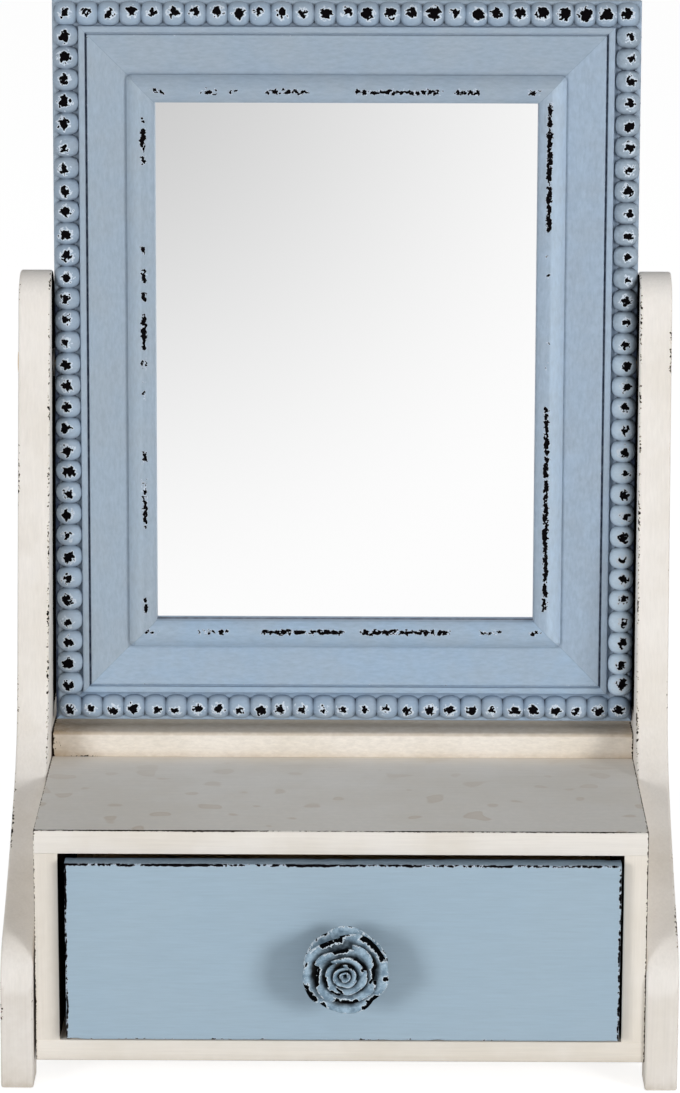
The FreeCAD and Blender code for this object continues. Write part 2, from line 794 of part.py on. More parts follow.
# ---------------------------------------------------------------- beads

BEAD_FACETS = 4


def bead_rings(count, pitch, whole_ends):
    """Rings (along, radius) down a run of overlapping beads, centred on its middle. Whole ends
    close the first and last bead, and other ends are flat where the next bead would join."""
    radius = size("bead_size / 2")
    join = math.asin(pitch / 2 / radius)
    start = -(count - 1) * pitch / 2
    turns = [(bead, part * join) for bead in range(count) for part in (-1, -0.5, 0, 0.5)]
    turns.append((count - 1, join))
    if whole_ends:
        closing = [math.radians(degrees) for degrees in (80, 55, 28)]
        turns[:2] = [(0, -turn) for turn in closing]
        turns[-2:] = [(count - 1, turn) for turn in reversed(closing)]
    return [(start + bead * pitch + radius * math.sin(turn), radius * math.cos(turn)) for bead, turn in turns]


def bead_run(count, pitch, whole_ends):
    """Half-round beads in a row along X, flat at y = 0 and standing out to -Y, in flat facets."""
    rings = []
    for along, radius in bead_rings(count, pitch, whole_ends):
        turns = [math.pi * number / BEAD_FACETS for number in range(BEAD_FACETS + 1)]
        rings.append([Vector(along, -radius * math.sin(turn), radius * math.cos(turn)) for turn in turns])
    outlines = [rings[0], rings[-1]]
    outlines.append([ring[0] for ring in rings] + [ring[-1] for ring in reversed(rings)])
    for near, far in zip(rings, rings[1:]):
        for number in range(BEAD_FACETS):
            outlines.append([near[number], near[number + 1], far[number + 1], far[number]])
    faces = [Part.Face(Part.makePolygon(points + points[:1])) for points in outlines]
    shell = Part.Shell(faces)
    shell.sewShape()
    solid = Part.Solid(shell)
    if solid.Volume < 0:
        solid.reverse()
    return solid


BEAD_LINE = "(ledge_proud + bead_size / 2)"
line_across = size(f"mirror_wide - 2 * {BEAD_LINE}")
line_down = size(f"mirror_tall - 2 * {BEAD_LINE}")
pitch_across = line_across / (size("beads_across") - 1)
pitch_down = line_down / (size("beads_down") - 1)
bead_deep = size("pivot_in - ledge_high")
bead_round = size("bead_size / 2")


def rail_beads():
    """The run along a rail with both corner beads, each cut where the stile's first bead joins."""
    run = bead_run(int(size("beads_across")), pitch_across, True)
    waste_size = Vector(bead_round + pitch_across / 2, 2 * bead_round, bead_round)
    low = -pitch_down / 2 - waste_size.z
    left = Part.makeBox(*waste_size, Vector(-line_across / 2 - bead_round, -waste_size.y, low))
    right = Part.makeBox(*waste_size, Vector(line_across / 2 - pitch_across / 2, -waste_size.y, low))
    return run.cut(left).cut(right)


def on_mirror(across, up, rotation):
    return MIRROR * Placement(Vector(across, bead_deep, up), rotation)


half_turn = Rotation(Vector(0, 1, 0), 180)
quarter_turn = Rotation(Vector(0, 1, 0), 90)
stile_beads = bead_run(int(size("beads_down")) - 2, pitch_down, False)
plain_part("top_bead_strip", rail_beads(), on_mirror(0, line_down / 2, Rotation()))
plain_part("bottom_bead_strip", rail_beads(), on_mirror(0, -line_down / 2, half_turn))
plain_part("left_bead_strip", stile_beads, on_mirror(-line_across / 2, 0, quarter_turn))
plain_part("right_bead_strip", stile_beads, on_mirror(line_across / 2, 0, quarter_turn))


# ---------------------------------------------------------------- pivots

inserts = []
washers = []
for side, sign in (("left", -1), ("right", 1)):
    outward = Vector(sign, 0, 0)
    stile_face = Vector(sign * size(HALF_WIDE), 0, 0)
    play = size(f"gap_wide / 2 - {HALF_WIDE} - {sign} * mirror_shift")
    panel_face = stile_face + outward * (play + size("panel_thick"))

    insert = Part.makeCylinder(size("insert_round"), size("insert_long"), stile_face, -outward)
    thread = Part.makeCylinder(size("pivot_round + pivot_play"), size("insert_long"), stile_face, -outward)
    inserts.append(insert.cut(thread))

    washer = Part.makeCylinder(size("washer_out"), play, stile_face, outward)
    washer_hole = Part.makeCylinder(size("pivot_round + pivot_play"), play, stile_face, outward)
    washers.append(washer.cut(washer_hole))

    shank_end = size("panel_thick + pivot_long") + play
    bolt = turned(
        [
            (0, size("head_round")),
            (size("head_high"), size("head_round")),
            (size("head_high"), size("pivot_round")),
            (shank_end, size("pivot_round")),
        ],
        panel_face,
        -outward,
    )
    plain_part(f"{side}_pivot_bolt", bolt, MIRROR)

plain_part("pivot_inserts", Part.makeCompound(inserts), MIRROR)
plain_part("pivot_washers", Part.makeCompound(washers), MIRROR)


# ---------------------------------------------------------------- checks and files

doc.recompute()
for item in doc.Objects:
    if "Invalid" in item.State or "Error" in item.State:
        raise ValueError(f"{item.Name} failed: {item.State}")
for piece in pieces:
    if piece.Shape.isNull() or not piece.Shape.isValid():
        raise ValueError(f"{piece.Label} has no valid shape")

os.makedirs("parts", exist_ok=True)
for piece in pieces:
    piece.Shape.exportStep(f"parts/{piece.Label}.step")
    box = piece.Shape.BoundBox
    print(f"{piece.Label:22} {len(piece.Shape.Solids):3} {piece.Shape.Volume:11.1f} {box}")
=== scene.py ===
"""Looks of a painted vanity mirror with a drawer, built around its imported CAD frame.

Every length of a piece is in millimetres until its mesh is written, in metres. The base and the
drawer are worked out with y = 0 at the cabinet's front face, and the mirror upright about its pivot,
with x to the right, z up and the viewer on the -y side. The studio is in metres throughout.
"""

import json
import logging
import math
from dataclasses import dataclass, field, replace
from enum import Enum

import bmesh
import bpy
import numpy as np
from mathutils import Matrix, Vector
from mathutils.geometry import tessellate_polygon


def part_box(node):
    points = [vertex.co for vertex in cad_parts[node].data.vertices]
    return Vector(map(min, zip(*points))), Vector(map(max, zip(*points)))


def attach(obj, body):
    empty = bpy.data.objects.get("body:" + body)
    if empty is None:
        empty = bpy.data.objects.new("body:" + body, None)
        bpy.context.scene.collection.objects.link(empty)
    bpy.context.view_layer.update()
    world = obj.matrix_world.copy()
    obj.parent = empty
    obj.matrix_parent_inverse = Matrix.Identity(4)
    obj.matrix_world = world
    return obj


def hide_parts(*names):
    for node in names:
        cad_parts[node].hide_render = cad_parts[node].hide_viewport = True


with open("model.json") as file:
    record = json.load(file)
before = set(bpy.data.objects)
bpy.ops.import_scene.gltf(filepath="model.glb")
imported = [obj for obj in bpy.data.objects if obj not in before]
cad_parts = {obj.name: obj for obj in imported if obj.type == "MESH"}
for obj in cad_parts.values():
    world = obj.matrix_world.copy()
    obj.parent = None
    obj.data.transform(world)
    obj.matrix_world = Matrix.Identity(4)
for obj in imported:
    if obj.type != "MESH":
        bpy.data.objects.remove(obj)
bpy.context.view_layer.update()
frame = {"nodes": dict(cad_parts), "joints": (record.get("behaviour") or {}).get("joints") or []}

MM = 0.001
log = logging.getLogger("vanity_mirror")

Array = np.ndarray
Material = bpy.types.Material
Node = bpy.types.Node
Socket = bpy.types.NodeSocket
Source = Node | Socket
Tree = bpy.types.NodeTree


# -------------------- places


class Axis(Enum):
    """The direction that a board is raised along, or that its grain runs."""

    ACROSS = 0
    DEEP = 1
    UP = 2


def hinge_place(name: str) -> tuple[float, float, float]:
    """Where a hinge's axis is, in millimetres."""
    found = [joint for joint in frame["joints"] if joint["name"] == name]
    return tuple(value / MM for value in found[0]["pos_m"])


# -------------------- meshes


@dataclass
class Surface:
    """A mesh while it is worked out.

    Attributes:
        points: vertices (n, 3) in millimetres.
        faces: groups of faces, each an array (m, k) of vertex numbers.
        marks: values at the vertices by name, each (n,) or (n, 3).
        corner_marks: vectors at the face corners by name, each (corners, 3), in the faces' order.
    """

    points: Array
    faces: list[Array]
    marks: dict[str, Array] = field(default_factory=dict)
    corner_marks: dict[str, Array] = field(default_factory=dict)


def joined(surfaces: list[Surface]) -> Surface:
    """Puts surfaces with the same marks into one, numbering their vertices in turn."""
    offsets = np.cumsum([0] + [len(item.points) for item in surfaces[:-1]])
    faces = [group + start for item, start in zip(surfaces, offsets) for group in item.faces]
    marks = {name: np.concatenate([item.marks[name] for item in surfaces]) for name in surfaces[0].marks}
    return Surface(np.concatenate([item.points for item in surfaces]), faces, marks)


def grid_faces(rows: int, columns: int, around: bool) -> Array:
    """Quads over a grid of vertices numbered row by row.

    Args:
        rows: vertices down the grid.
        columns: vertices along each row.
        around: whether the last column joins the first.

    Returns:
        An array (quads, 4) of vertex numbers.
    """
    row = np.arange(rows - 1)[:, None]
    column = np.arange(columns if around else columns - 1)[None, :]
    after = (column + 1) % columns
    corners = [row * columns + column, row * columns + after]
    corners += [(row + 1) * columns + after, (row + 1) * columns + column]
    return np.stack(corners, axis=-1).reshape(-1, 4)


def tube(rings: Array) -> Surface:
    """Joins closed rings (rows, columns, 3) one after another and shuts both ends with a face."""
    rows, columns = rings.shape[:2]
    ends = np.arange(columns)
    caps = [ends[::-1][None, :], (ends + (rows - 1) * columns)[None, :]]
    return Surface(rings.reshape(-1, 3), [grid_faces(rows, columns, True), *caps])


def write_mesh(name: str, surface: Surface, places: Array, crease: float) -> bpy.types.Object:
    """Writes a surface to a Blender object at the origin, its faces turned outwards.

    Args:
        name: the piece's name.
        surface: what was worked out.
        places: its vertices in metres of the shared frame.
        crease: the angle in degrees past which an edge stays sharp.

    Returns:
        The object, linked to the scene.
    """
    faces = [face for group in surface.faces for face in group.tolist()]
    mesh = bpy.data.meshes.new(name)
    mesh.from_pydata(places.tolist(), [], faces)
    for mark, values in surface.marks.items():
        kind, channel = ("FLOAT_VECTOR", "vector") if values.ndim == 2 else ("FLOAT", "value")
        layer = mesh.attributes.new(mark, kind, "POINT")
        layer.data.foreach_set(channel, values.astype(np.float32).ravel())
    for mark, values in surface.corner_marks.items():
        layer = mesh.attributes.new(mark, "FLOAT_VECTOR", "CORNER")
        layer.data.foreach_set("vector", values.astype(np.float32).ravel())
    shell = bmesh.new()
    shell.from_mesh(mesh)
    bmesh.ops.recalc_face_normals(shell, faces=shell.faces)
    shell.to_mesh(mesh)
    shell.free()
    mesh.shade_smooth()
    mesh.set_sharp_from_angle(angle=math.radians(crease))
    piece = bpy.data.objects.new(name, mesh)
    bpy.context.scene.collection.objects.link(piece)
    return piece


@dataclass(frozen=True)
class Stand:
    """Where a sub-assembly stands: it turns the sub-assembly's own millimetres into metres of the
    shared frame, and puts finished pieces on their body.

    Attributes:
        body: the CAD body that the sub-assembly rides on.
        origin: where its own origin is, in millimetres of the shared frame.
        lean: turn about the x axis in degrees, positive for a top that leans back.
    """

    body: str
    origin: tuple[float, float, float]
    lean: float = 0.0

    def place(self, points: Array) -> Array:
        """Leans points (..., 3) about x, moves them to the origin and turns them to metres."""
        turn = math.radians(self.lean)
        x, y, z = points[..., 0], points[..., 1], points[..., 2]
        leaned = [x, y * math.cos(turn) + z * math.sin(turn), z * math.cos(turn) - y * math.sin(turn)]
        return (np.stack(leaned, axis=-1) + np.array(self.origin)) * MM

    def put(
        self, name: str, surface: Surface, material: Material, slot: str, node: str,
        crease: float = 40.0,
    ) -> None:
        """Writes a surface, dresses it and lets it ride on the body.

        Args:
            name: the piece's name.
            surface: what was worked out.
            material: its finish.
            slot: the record's material slot; not used.
            node: the CAD node that it stands for.
            crease: the angle in degrees past which an edge stays sharp.
        """
        piece = write_mesh(name, surface, self.place(surface.points), crease)
        piece.data.materials.append(material)
        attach(piece, self.body)
        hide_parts(node)
        log.info("%s: %d faces on %s", name, len(piece.data.polygons), self.body)


def dress(nodes: tuple[str, ...], material: Material) -> None:
    """Gives CAD nodes that stay in sight a finish."""
    for node in nodes:
        mesh = frame["nodes"][node].data
        mesh.materials.clear()
        mesh.materials.append(material)
        log.info("%s: dressed in %s", node, material.name)


WAVES = 8


def wander(points: Array, wave: float, seed: int) -> Array:
    """A smooth random height over space: the sum of eight sine waves with random directions, lengths
    round the given wave and random phases, scaled to about -1 to 1.

    Args:
        points: places (..., 3) in millimetres.
        wave: the usual wavelength in millimetres.
        seed: the number that fixes the draws.

    Returns:
        One value for each place.
    """
    draws = np.random.default_rng(seed)
    directions = draws.normal(size=(WAVES, 3))
    directions /= np.linalg.norm(directions, axis=1, keepdims=True)
    lengths = wave * draws.uniform(0.6, 1.7, WAVES)
    phases = draws.uniform(0, 2 * math.pi, WAVES)
    turns = points @ (directions / lengths[:, None]).T * 2 * math.pi + phases
    return np.sin(turns).sum(axis=-1) / 4


# -------------------- outlines


def arc(centre: Array, radius: float, start: float, end: float, count: int) -> Array:
    """Points on a circle: centre + radius (cos a, sin a), the angle a going evenly from start to end
    in degrees, both ends included."""
    turn = np.radians(np.linspace(start, end, count))
    return np.stack([centre[0] + radius * np.cos(turn), centre[1] + radius * np.sin(turn)], axis=-1)


def arc_between(start: Array, end: Array, radius: float, turn: int, step: float) -> Array:
    """Points on the short arc from start to end, its own end left out. The centre is off the chord's
    middle, to the left of the way for an arc that turns left.

    Args:
        start: the first point.
        end: the last point.
        radius: the arc's radius.
        turn: 1 for an arc that turns left, -1 for one that turns right.
        step: the largest spacing of the points.

    Returns:
        An array (count, 2).
    """
    chord = end - start
    length = float(np.linalg.norm(chord))
    left = np.array([-chord[1], chord[0]]) / length
    centre = (start + end) / 2 + turn * left * math.sqrt(max(radius**2 - (length / 2) ** 2, 0.0))
    first = math.degrees(math.atan2(start[1] - centre[1], start[0] - centre[0]))
    swept = turn * 2 * math.degrees(math.asin(min(length / 2 / radius, 1.0)))
    count = max(4, math.ceil(radius * math.radians(abs(swept)) / step)) + 1
    return arc(centre, radius, first, first + swept, count)[:-1]


def traced(corners: list[tuple[float, ...]], step: float) -> Array:
    """A closed outline from its corners, inside on the left. A corner is (across, up) before a
    straight edge and (across, up, radius, turn) before an arc.

    Args:
        corners: the corners in order.
        step: the largest spacing of the points on arcs.

    Returns:
        An array (count, 2).
    """
    parts = []
    for item, following in zip(corners, corners[1:] + corners[:1]):
        start, end = np.array(item[:2]), np.array(following[:2])
        parts.append(start[None, :] if len(item) == 2 else arc_between(start, end, item[2], item[3], step))
    return np.concatenate(parts)


# Edges that turn by less than this many radians are one straight line.
NO_TURN = 1e-6


def softened(corners: list[tuple[float, float, float]], steps: int) -> Array:
    """A closed outline whose corners (across, up, radius) are cut by arcs tangent to both edges.

    The arc starts at radius tan(t / 2) before the corner, for a turn of t, and its points are those of
    a circle about the centre that lies at that distance from both edges.

    Args:
        corners: the corners in order, radius 0 for one that stays sharp.
        steps: facets in each arc.

    Returns:
        An array (count, 2).
    """
    parts = []
    places = np.array([item[:2] for item in corners])
    for number, item in enumerate(corners):
        here = places[number]
        before = here - places[number - 1]
        after = places[(number + 1) % len(corners)] - here
        before /= np.linalg.norm(before)
        after /= np.linalg.norm(after)
        turn = math.atan2(before[0] * after[1] - before[1] * after[0], float(before @ after))
        if item[2] == 0 or abs(turn) < NO_TURN:
            parts.append(here[None, :])
            continue
        reach = item[2] * math.tan(abs(turn) / 2)
        parts.append(arc_points(here - before * reach, before, item[2], turn, steps))
    return np.concatenate(parts)


def arc_points(start: Array, way: Array, radius: float, turn: float, steps: int) -> Array:
    """Points along an arc that leaves start in a direction and turns by an angle: each is
    start + radius (sin a * way + (1 - cos a) * side), side being the way's left or right.

    Args:
        start: where the arc leaves the straight line.
        way: the direction there, of length 1.
        radius: the arc's radius.
        turn: the angle that it turns by in radians, positive to the left.
        steps: facets in the arc.

    Returns:
        An array (steps + 1, 2).
    """
    side = np.array([-way[1], way[0]]) * math.copysign(1.0, turn)
    swept = np.linspace(0, abs(turn), steps + 1)[:, None]
    return start + radius * (np.sin(swept) * way + (1 - np.cos(swept)) * side)


def thickened(outline: Array, step: float) -> Array:
    """Adds evenly spaced points to each edge of a closed outline that is longer than step."""
    parts = []
    for start, end in zip(outline, np.roll(outline, -1, axis=0)):
        count = max(1, math.ceil(np.linalg.norm(end - start) / step))
        parts.append(start + (end - start) * (np.arange(count)[:, None] / count))
    return np.concatenate(parts)


def inset(outline: Array, distance: Array | float) -> Array:
    """Moves a closed outline, inside on its left, inwards: each point goes along the bisector of its
    two edges, by the distance over the cosine of half the turn.

    Args:
        outline: the closed outline.
        distance: how far each point goes, or all of them.

    Returns:
        The outline that was moved.
    """
    before = outline - np.roll(outline, 1, axis=0)
    after = np.roll(outline, -1, axis=0) - outline
    before /= np.linalg.norm(before, axis=1, keepdims=True)
    after /= np.linalg.norm(after, axis=1, keepdims=True)
    along = before + after
    along /= np.linalg.norm(along, axis=1, keepdims=True)
    half_turn = np.clip(np.sum(along * before, axis=1), 0.5, 1.0)
    left = np.stack([-along[:, 1], along[:, 0]], axis=1)
    return outline + left * (np.broadcast_to(distance, len(outline)) / half_turn)[:, None]


def box_outline(left: float, right: float, low: float, high: float) -> Array:
    """Four corners of a rectangle, inside on the left."""
    return np.array([[left, low], [right, low], [right, high], [left, high]], float)


@dataclass(frozen=True)
class Arris:
    """How a board's edge is softened and worn.

    Attributes:
        round: radius of the rounding.
        steps: facets over the quarter turn.
        rub: how far in from the arris the paint is rubbed.
        chip: how deep knocks bite into the arris at most.
        chip_wave: usual length of such a bite.
    """

    round: float = 0.9
    steps: int = 3
    rub: float = 2.5
    chip: float = 0.0
    chip_wave: float = 9.0


@dataclass(frozen=True)
class Bore:
    """A round recess in a board's end face.

    Attributes:
        centre: where it is in the outline's plane.
        radius: its radius.
        deep: how deep it goes.
        high_side: whether it is in the far face.
    """

    centre: tuple[float, float]
    radius: float
    deep: float
    high_side: bool


# Which of a slab's (across, up, raised) coordinates are its x, y and z.
RAISED = {Axis.ACROSS: (2, 0, 1), Axis.DEEP: (0, 2, 1)}
# Spacing of a slab's vertices round its outline, in millimetres.
SLAB_STEP = 5.0
# How far apart the two faces' knocks are drawn, so that they differ.
FACES_APART = 50.0
# The mark "wear" where the rounding of an arris starts and ends.
NEAR_ARRIS = 0.8


def slab(
    outline: Array, axis: Axis, low: float, high: float, arris: Arris, seed: int,
    bore: Bore | None = None, stations: int = 0,
) -> Surface:
    """A board: rings of one outline, inset and raised so that both arrises are rounded.

    A ring at angle a of the rounding of radius r is inset by r (1 - sin a) and stands r (1 - cos a)
    inside the face. One more ring on the face and one on the wall end the rubbed strip.

    Args:
        outline: the closed outline, inside on its left.
        axis: the direction that the outline is raised along.
        low: where the board starts along it.
        high: where it ends.
        arris: how its edges are softened.
        seed: the number that fixes its knocks.
        bore: a round recess in one of its faces.
        stations: how many more rings lie between the two arrises, to carry marks.

    Returns:
        The closed surface, with the mark "wear": 1 on the arrises, 0 beyond the rubbed strips.
    """
    dense = thickened(outline, SLAB_STEP)
    count = len(dense)
    angles = np.radians(np.linspace(0, 90, arris.steps + 1))
    insets = np.append([arris.rub + arris.round, *(arris.round * (1 - np.sin(angles)))], 0.0)
    wall_drop = min(arris.rub + arris.round, (high - low) / 2 - 0.01)
    drops = np.array([0.0, *(arris.round * (1 - np.cos(angles))), wall_drop])
    wears = np.array([0.0, NEAR_ARRIS, *([1.0] * (arris.steps - 1)), NEAR_ARRIS, 0.0])
    rings = []
    marks = []
    for side in (1, -1):
        order = np.arange(len(insets))[::side]
        flat = np.concatenate([dense, np.full((count, 1), side * FACES_APART)], axis=1)
        bite = arris.chip * np.clip(wander(flat, arris.chip_wave, seed), 0, 1) ** 2
        for number in order:
            ring = inset(dense, insets[number] + bite * wears[number])
            level = high - drops[number] if side > 0 else low + drops[number]
            rings.append(np.concatenate([ring, np.full((count, 1), level)], axis=1))
            marks.append(np.full(count, wears[number]))
        between = np.linspace(high - wall_drop, low + wall_drop, stations + 2)[1:-1]
        for level in between if side > 0 else ():
            rings.append(np.concatenate([dense, np.full((count, 1), level)], axis=1))
            marks.append(np.zeros(count))
    points = np.concatenate(rings)
    total = len(points)
    faces = [grid_faces(len(rings), count, True)]
    ends = {True: np.arange(count), False: np.arange(total - 1, total - count - 1, -1)}
    for high_side, ring in ends.items():
        if bore is None or bore.high_side is not high_side:
            faces.append(ring[::-1][None, :])
            continue
        hole, hole_faces = bored(points, ring[::-1], bore)
        points = np.concatenate([points, hole])
        faces += hole_faces
        marks.append(np.zeros(len(hole)))
    ordered = np.stack([points[:, place] for place in RAISED[axis]], axis=1)
    return Surface(ordered, faces, {"wear": np.concatenate(marks)})


BORE_SIDES = 40


def bored(points: Array, ring: Array, bore: Bore) -> tuple[Array, list[Array]]:
    """The end face of a slab round a recess, and the recess's wall and floor.

    Args:
        points: the slab's vertices (across, up, raised).
        ring: the numbers of the end face's outline.
        bore: the recess.

    Returns:
        The recess's vertices, a mouth ring and a floor ring, and the faces.
    """
    level = points[ring[0], 2]
    floor = level - bore.deep if bore.high_side else level + bore.deep
    circle = arc(np.array(bore.centre), bore.radius, 0, 360, BORE_SIDES + 1)[:-1]
    mouth = np.concatenate([circle, np.full((BORE_SIDES, 1), level)], axis=1)
    bottom = np.concatenate([circle, np.full((BORE_SIDES, 1), floor)], axis=1)
    numbers = np.append(ring, len(points) + np.arange(BORE_SIDES))
    loops = [[Vector(place) for place in points[ring]], [Vector(place) for place in mouth]]
    triangles = numbers[np.array(tessellate_polygon(loops))]
    wall = grid_faces(2, BORE_SIDES, True) + len(points)
    disc = np.arange(BORE_SIDES)[None, :] + len(points) + BORE_SIDES
    return np.concatenate([mouth, bottom]), [triangles, wall, disc]


# -------------------- finishes


def to_linear(colour: str) -> tuple[float, float, float, float]:
    """Turns an sRGB hex colour to linear light and full alpha: c / 12.92 up to 0.04045,
    ((c + 0.055) / 1.055)^2.4 above."""
    shares = [int(colour[start : start + 2], 16) / 255 for start in (1, 3, 5)]
    linear = [share / 12.92 if share <= 0.04045 else ((share + 0.055) / 1.055) ** 2.4 for share in shares]
    return (*linear, 1.0)


def add(
    tree: Tree, kind: str, settings: dict[str, object] | None = None,
    values: dict[int | str, object] | None = None, links: dict[int | str, Source] | None = None,
) -> Node:
    """Adds a node with its settings and links.

    Args:
        tree: the node tree.
        kind: the node type's own name, without "ShaderNode".
        settings: the node's properties by name.
        values: constants for its inputs, by name or number.
        links: what its inputs read, by name or number: a socket, or a node for its first output.

    Returns:
        The node.
    """
    node = tree.nodes.new("ShaderNode" + kind)
    for name, value in (settings or {}).items():
        setattr(node, name, value)
    for name, value in (values or {}).items():
        node.inputs[name].default_value = value
    for name, source in (links or {}).items():
        socket = source.outputs[0] if isinstance(source, Node) else source
        tree.links.new(socket, node.inputs[name])
    return node


def blank(name: str) -> tuple[Material, Tree]:
    """Starts a material and returns it and its empty node tree."""
    material = bpy.data.materials.new(name)
    material.use_nodes = True
    material.node_tree.nodes.clear()
    return material, material.node_tree


# The colour Mix node's setting, inputs and output. It has sockets for every data type.
COLOURS = {"data_type": "RGBA"}
FACTOR, FIRST, SECOND, MIXED = 0, 6, 7, 2
# Settings of a Map Range that eases in and out, and of Math nodes.
EASED = {"interpolation_type": "SMOOTHSTEP"}
TIMES_PLUS = {"operation": "MULTIPLY_ADD"}
TIMES = {"operation": "MULTIPLY"}


def noise_at(scale_mm: float) -> float:
    """The Scale of a noise on metre coordinates whose lumps are about this many millimetres."""
    return 1.0 / (scale_mm * MM)


# Specular level of a whole coat, lower than usual because the paint is matt. Bare spots have none.
PAINT_GLOSS = 0.35
# Size of the patches that soiling and painted shade lie in, in millimetres.
GRIME_AND_SHADE_PATCH = 4.0


@dataclass(frozen=True)
class Rub:
    """How worn paint shows what lies under it, where the mark "wear" is high.

    Attributes:
        lump: usual size of a bare patch.
        stretch: how many times longer than wide a patch is, by axis of the pattern.
        bite: the noise level, from 0 to 1, past which full wear is through the paint.
        halo: how much sooner the thinned pale rim starts.
        under: colour of the undercoat.
        rim: colour of the thinned rim.
    """

    lump: float = 2.2
    stretch: tuple[float, float, float] = (1.0, 1.0, 1.0)
    bite: float = 0.52
    halo: float = 0.05
    under: str = "#0E0C0E"
    rim: str = "#CDD6E3"


@dataclass
class Paint:
    """Brushed matt furniture paint over a dark undercoat, rubbed through by hand.

    The eye gets soft cloudy colour, fine brush marks that catch the light, soiling and painted shade in
    the corners and black bare patches with a pale rim where the coat is thin.

    Attributes:
        coat: colour of the paint.
        cloud: colour of its thinner areas.
        grime_and_shade: colour of the soiling wiped into corners and of painted shade, where the mark
            "dirt" is high.
        cloud_size: size of the clouds in millimetres.
        cloud_share: how much of the cloud colour comes through.
        roughness: the matt coat's own roughness.
        brush: which way the brush ran.
        brush_gap: spacing of the brush marks in millimetres.
        brush_tone: how much the marks darken the coat.
        draw: how much shorter than long a brush mark is.
        grain_deep: depth of the marks in millimetres.
        rub: how it is worn.
        stain: colour of the dried spots, empty for none.
        stain_level: the noise level past which a spot shows.
        stain_size: spacing of the spots in millimetres.
        tree: the node tree while the material is built.
        spot: the place on the piece, in that tree.
    """

    name: str
    coat: str
    cloud: str
    grime_and_shade: str
    cloud_size: float = 45.0
    cloud_share: float = 0.7
    roughness: float = 0.62
    brush: Axis = Axis.ACROSS
    brush_gap: float = 1.3
    brush_tone: float = 0.05
    draw: float = 0.03
    grain_deep: float = 0.05
    rub: Rub = Rub()
    stain: str = ""
    stain_level: float = 0.69
    stain_size: float = 14.0
    tree: Tree = field(init=False, default=None)
    spot: Socket = field(init=False, default=None)

    def make(self) -> Material:
        """Builds the material.

        Returns:
            The material, which reads Object coordinates and the marks "wear" and "dirt".
        """
        material, tree = blank(self.name)
        self.tree, self.spot = tree, add(tree, "TexCoord").outputs["Object"]
        colour = self._coat()
        grey, marks = self._brushed()
        colour = add(
            tree, "Mix", {**COLOURS, "blend_type": "MULTIPLY"}, {FACTOR: 1.0},
            {FIRST: colour, SECOND: grey},
        ).outputs[MIXED]
        colour = self._grimed_and_shaded(colour)
        if self.stain:
            colour = self._stained(colour)
        colour, bare = self._rubbed(colour)
        height = add(tree, "Math", {"operation": "SUBTRACT"}, links={0: marks, 1: bare})
        bump = add(
            tree, "Bump", values={"Strength": 0.6, "Distance": self.grain_deep * MM * 3},
            links={"Height": height},
        )
        sheen = {1: -PAINT_GLOSS, 2: PAINT_GLOSS}
        gloss = add(tree, "Math", TIMES_PLUS, sheen, {0: bare})
        shader = add(
            tree, "BsdfPrincipled", values={"Roughness": self.roughness, "IOR": 1.5},
            links={"Base Color": colour, "Normal": bump, "Specular IOR Level": gloss},
        )
        add(tree, "OutputMaterial", links={"Surface": shader})
        return material

    def _coat(self) -> Source:
        """The coat with soft clouds.

        Returns:
            The colour.
        """
        clouds = add(
            self.tree, "TexNoise",
            values={"Scale": noise_at(self.cloud_size), "Detail": 4.0, "Roughness": 0.6},
            links={"Vector": self.spot},
        )
        share = add(
            self.tree, "MapRange", EASED,
            {1: 0.35, 2: 0.68, 3: 0.0, 4: self.cloud_share}, {0: clouds},
        )
        return add(
            self.tree, "Mix", COLOURS, {FIRST: to_linear(self.coat), SECOND: to_linear(self.cloud)},
            {FACTOR: share},
        ).outputs[MIXED]

    def _stained(self, colour: Source) -> Source:
        """Adds round dried spots where the mark "dirt" is high, each a tinted ring, paler within.

        Args:
            colour: the colour so far.

        Returns:
            The colour with the spots.
        """
        stain_gate = add(self.tree, "Attribute", {"attribute_name": "dirt"}).outputs["Fac"]
        spots = add(
            self.tree, "TexNoise", values={"Scale": noise_at(self.stain_size), "Detail": 0.0},
            links={"Vector": self.spot},
        )
        steps = ((self.stain_level, self.stain, 0.55), (self.stain_level + 0.05, self.coat, 0.25))
        for level, tint, most in steps:
            share = add(
                self.tree, "MapRange", EASED,
                {1: level, 2: level + 0.05, 3: 0.0, 4: most}, {0: spots},
            )
            share = add(self.tree, "Math", TIMES, links={0: share, 1: stain_gate})
            colour = add(
                self.tree, "Mix", COLOURS, {SECOND: to_linear(tint)},
                {FACTOR: share, FIRST: colour},
            ).outputs[MIXED]
        return colour

    def _brushed(self) -> tuple[Source, Source]:
        """Draws the brush marks: noise drawn out along the brush's way.

        Returns:
            A grey to multiply the colour by, and a height.
        """
        scale = {"Scale": tuple(self.draw if axis is self.brush else 1.0 for axis in Axis)}
        drawn = add(self.tree, "Mapping", values=scale, links={"Vector": self.spot})
        marks = add(
            self.tree, "TexNoise",
            values={"Scale": noise_at(self.brush_gap), "Detail": 3.0, "Roughness": 0.65},
            links={"Vector": drawn},
        )
        tone = add(
            self.tree, "MapRange",
            values={1: 0.3, 2: 0.7, 3: 1.0 - self.brush_tone, 4: 1.0 + self.brush_tone},
            links={0: marks},
        )
        grey = add(self.tree, "CombineColor", links={0: tone, 1: tone, 2: tone})
        return grey, marks

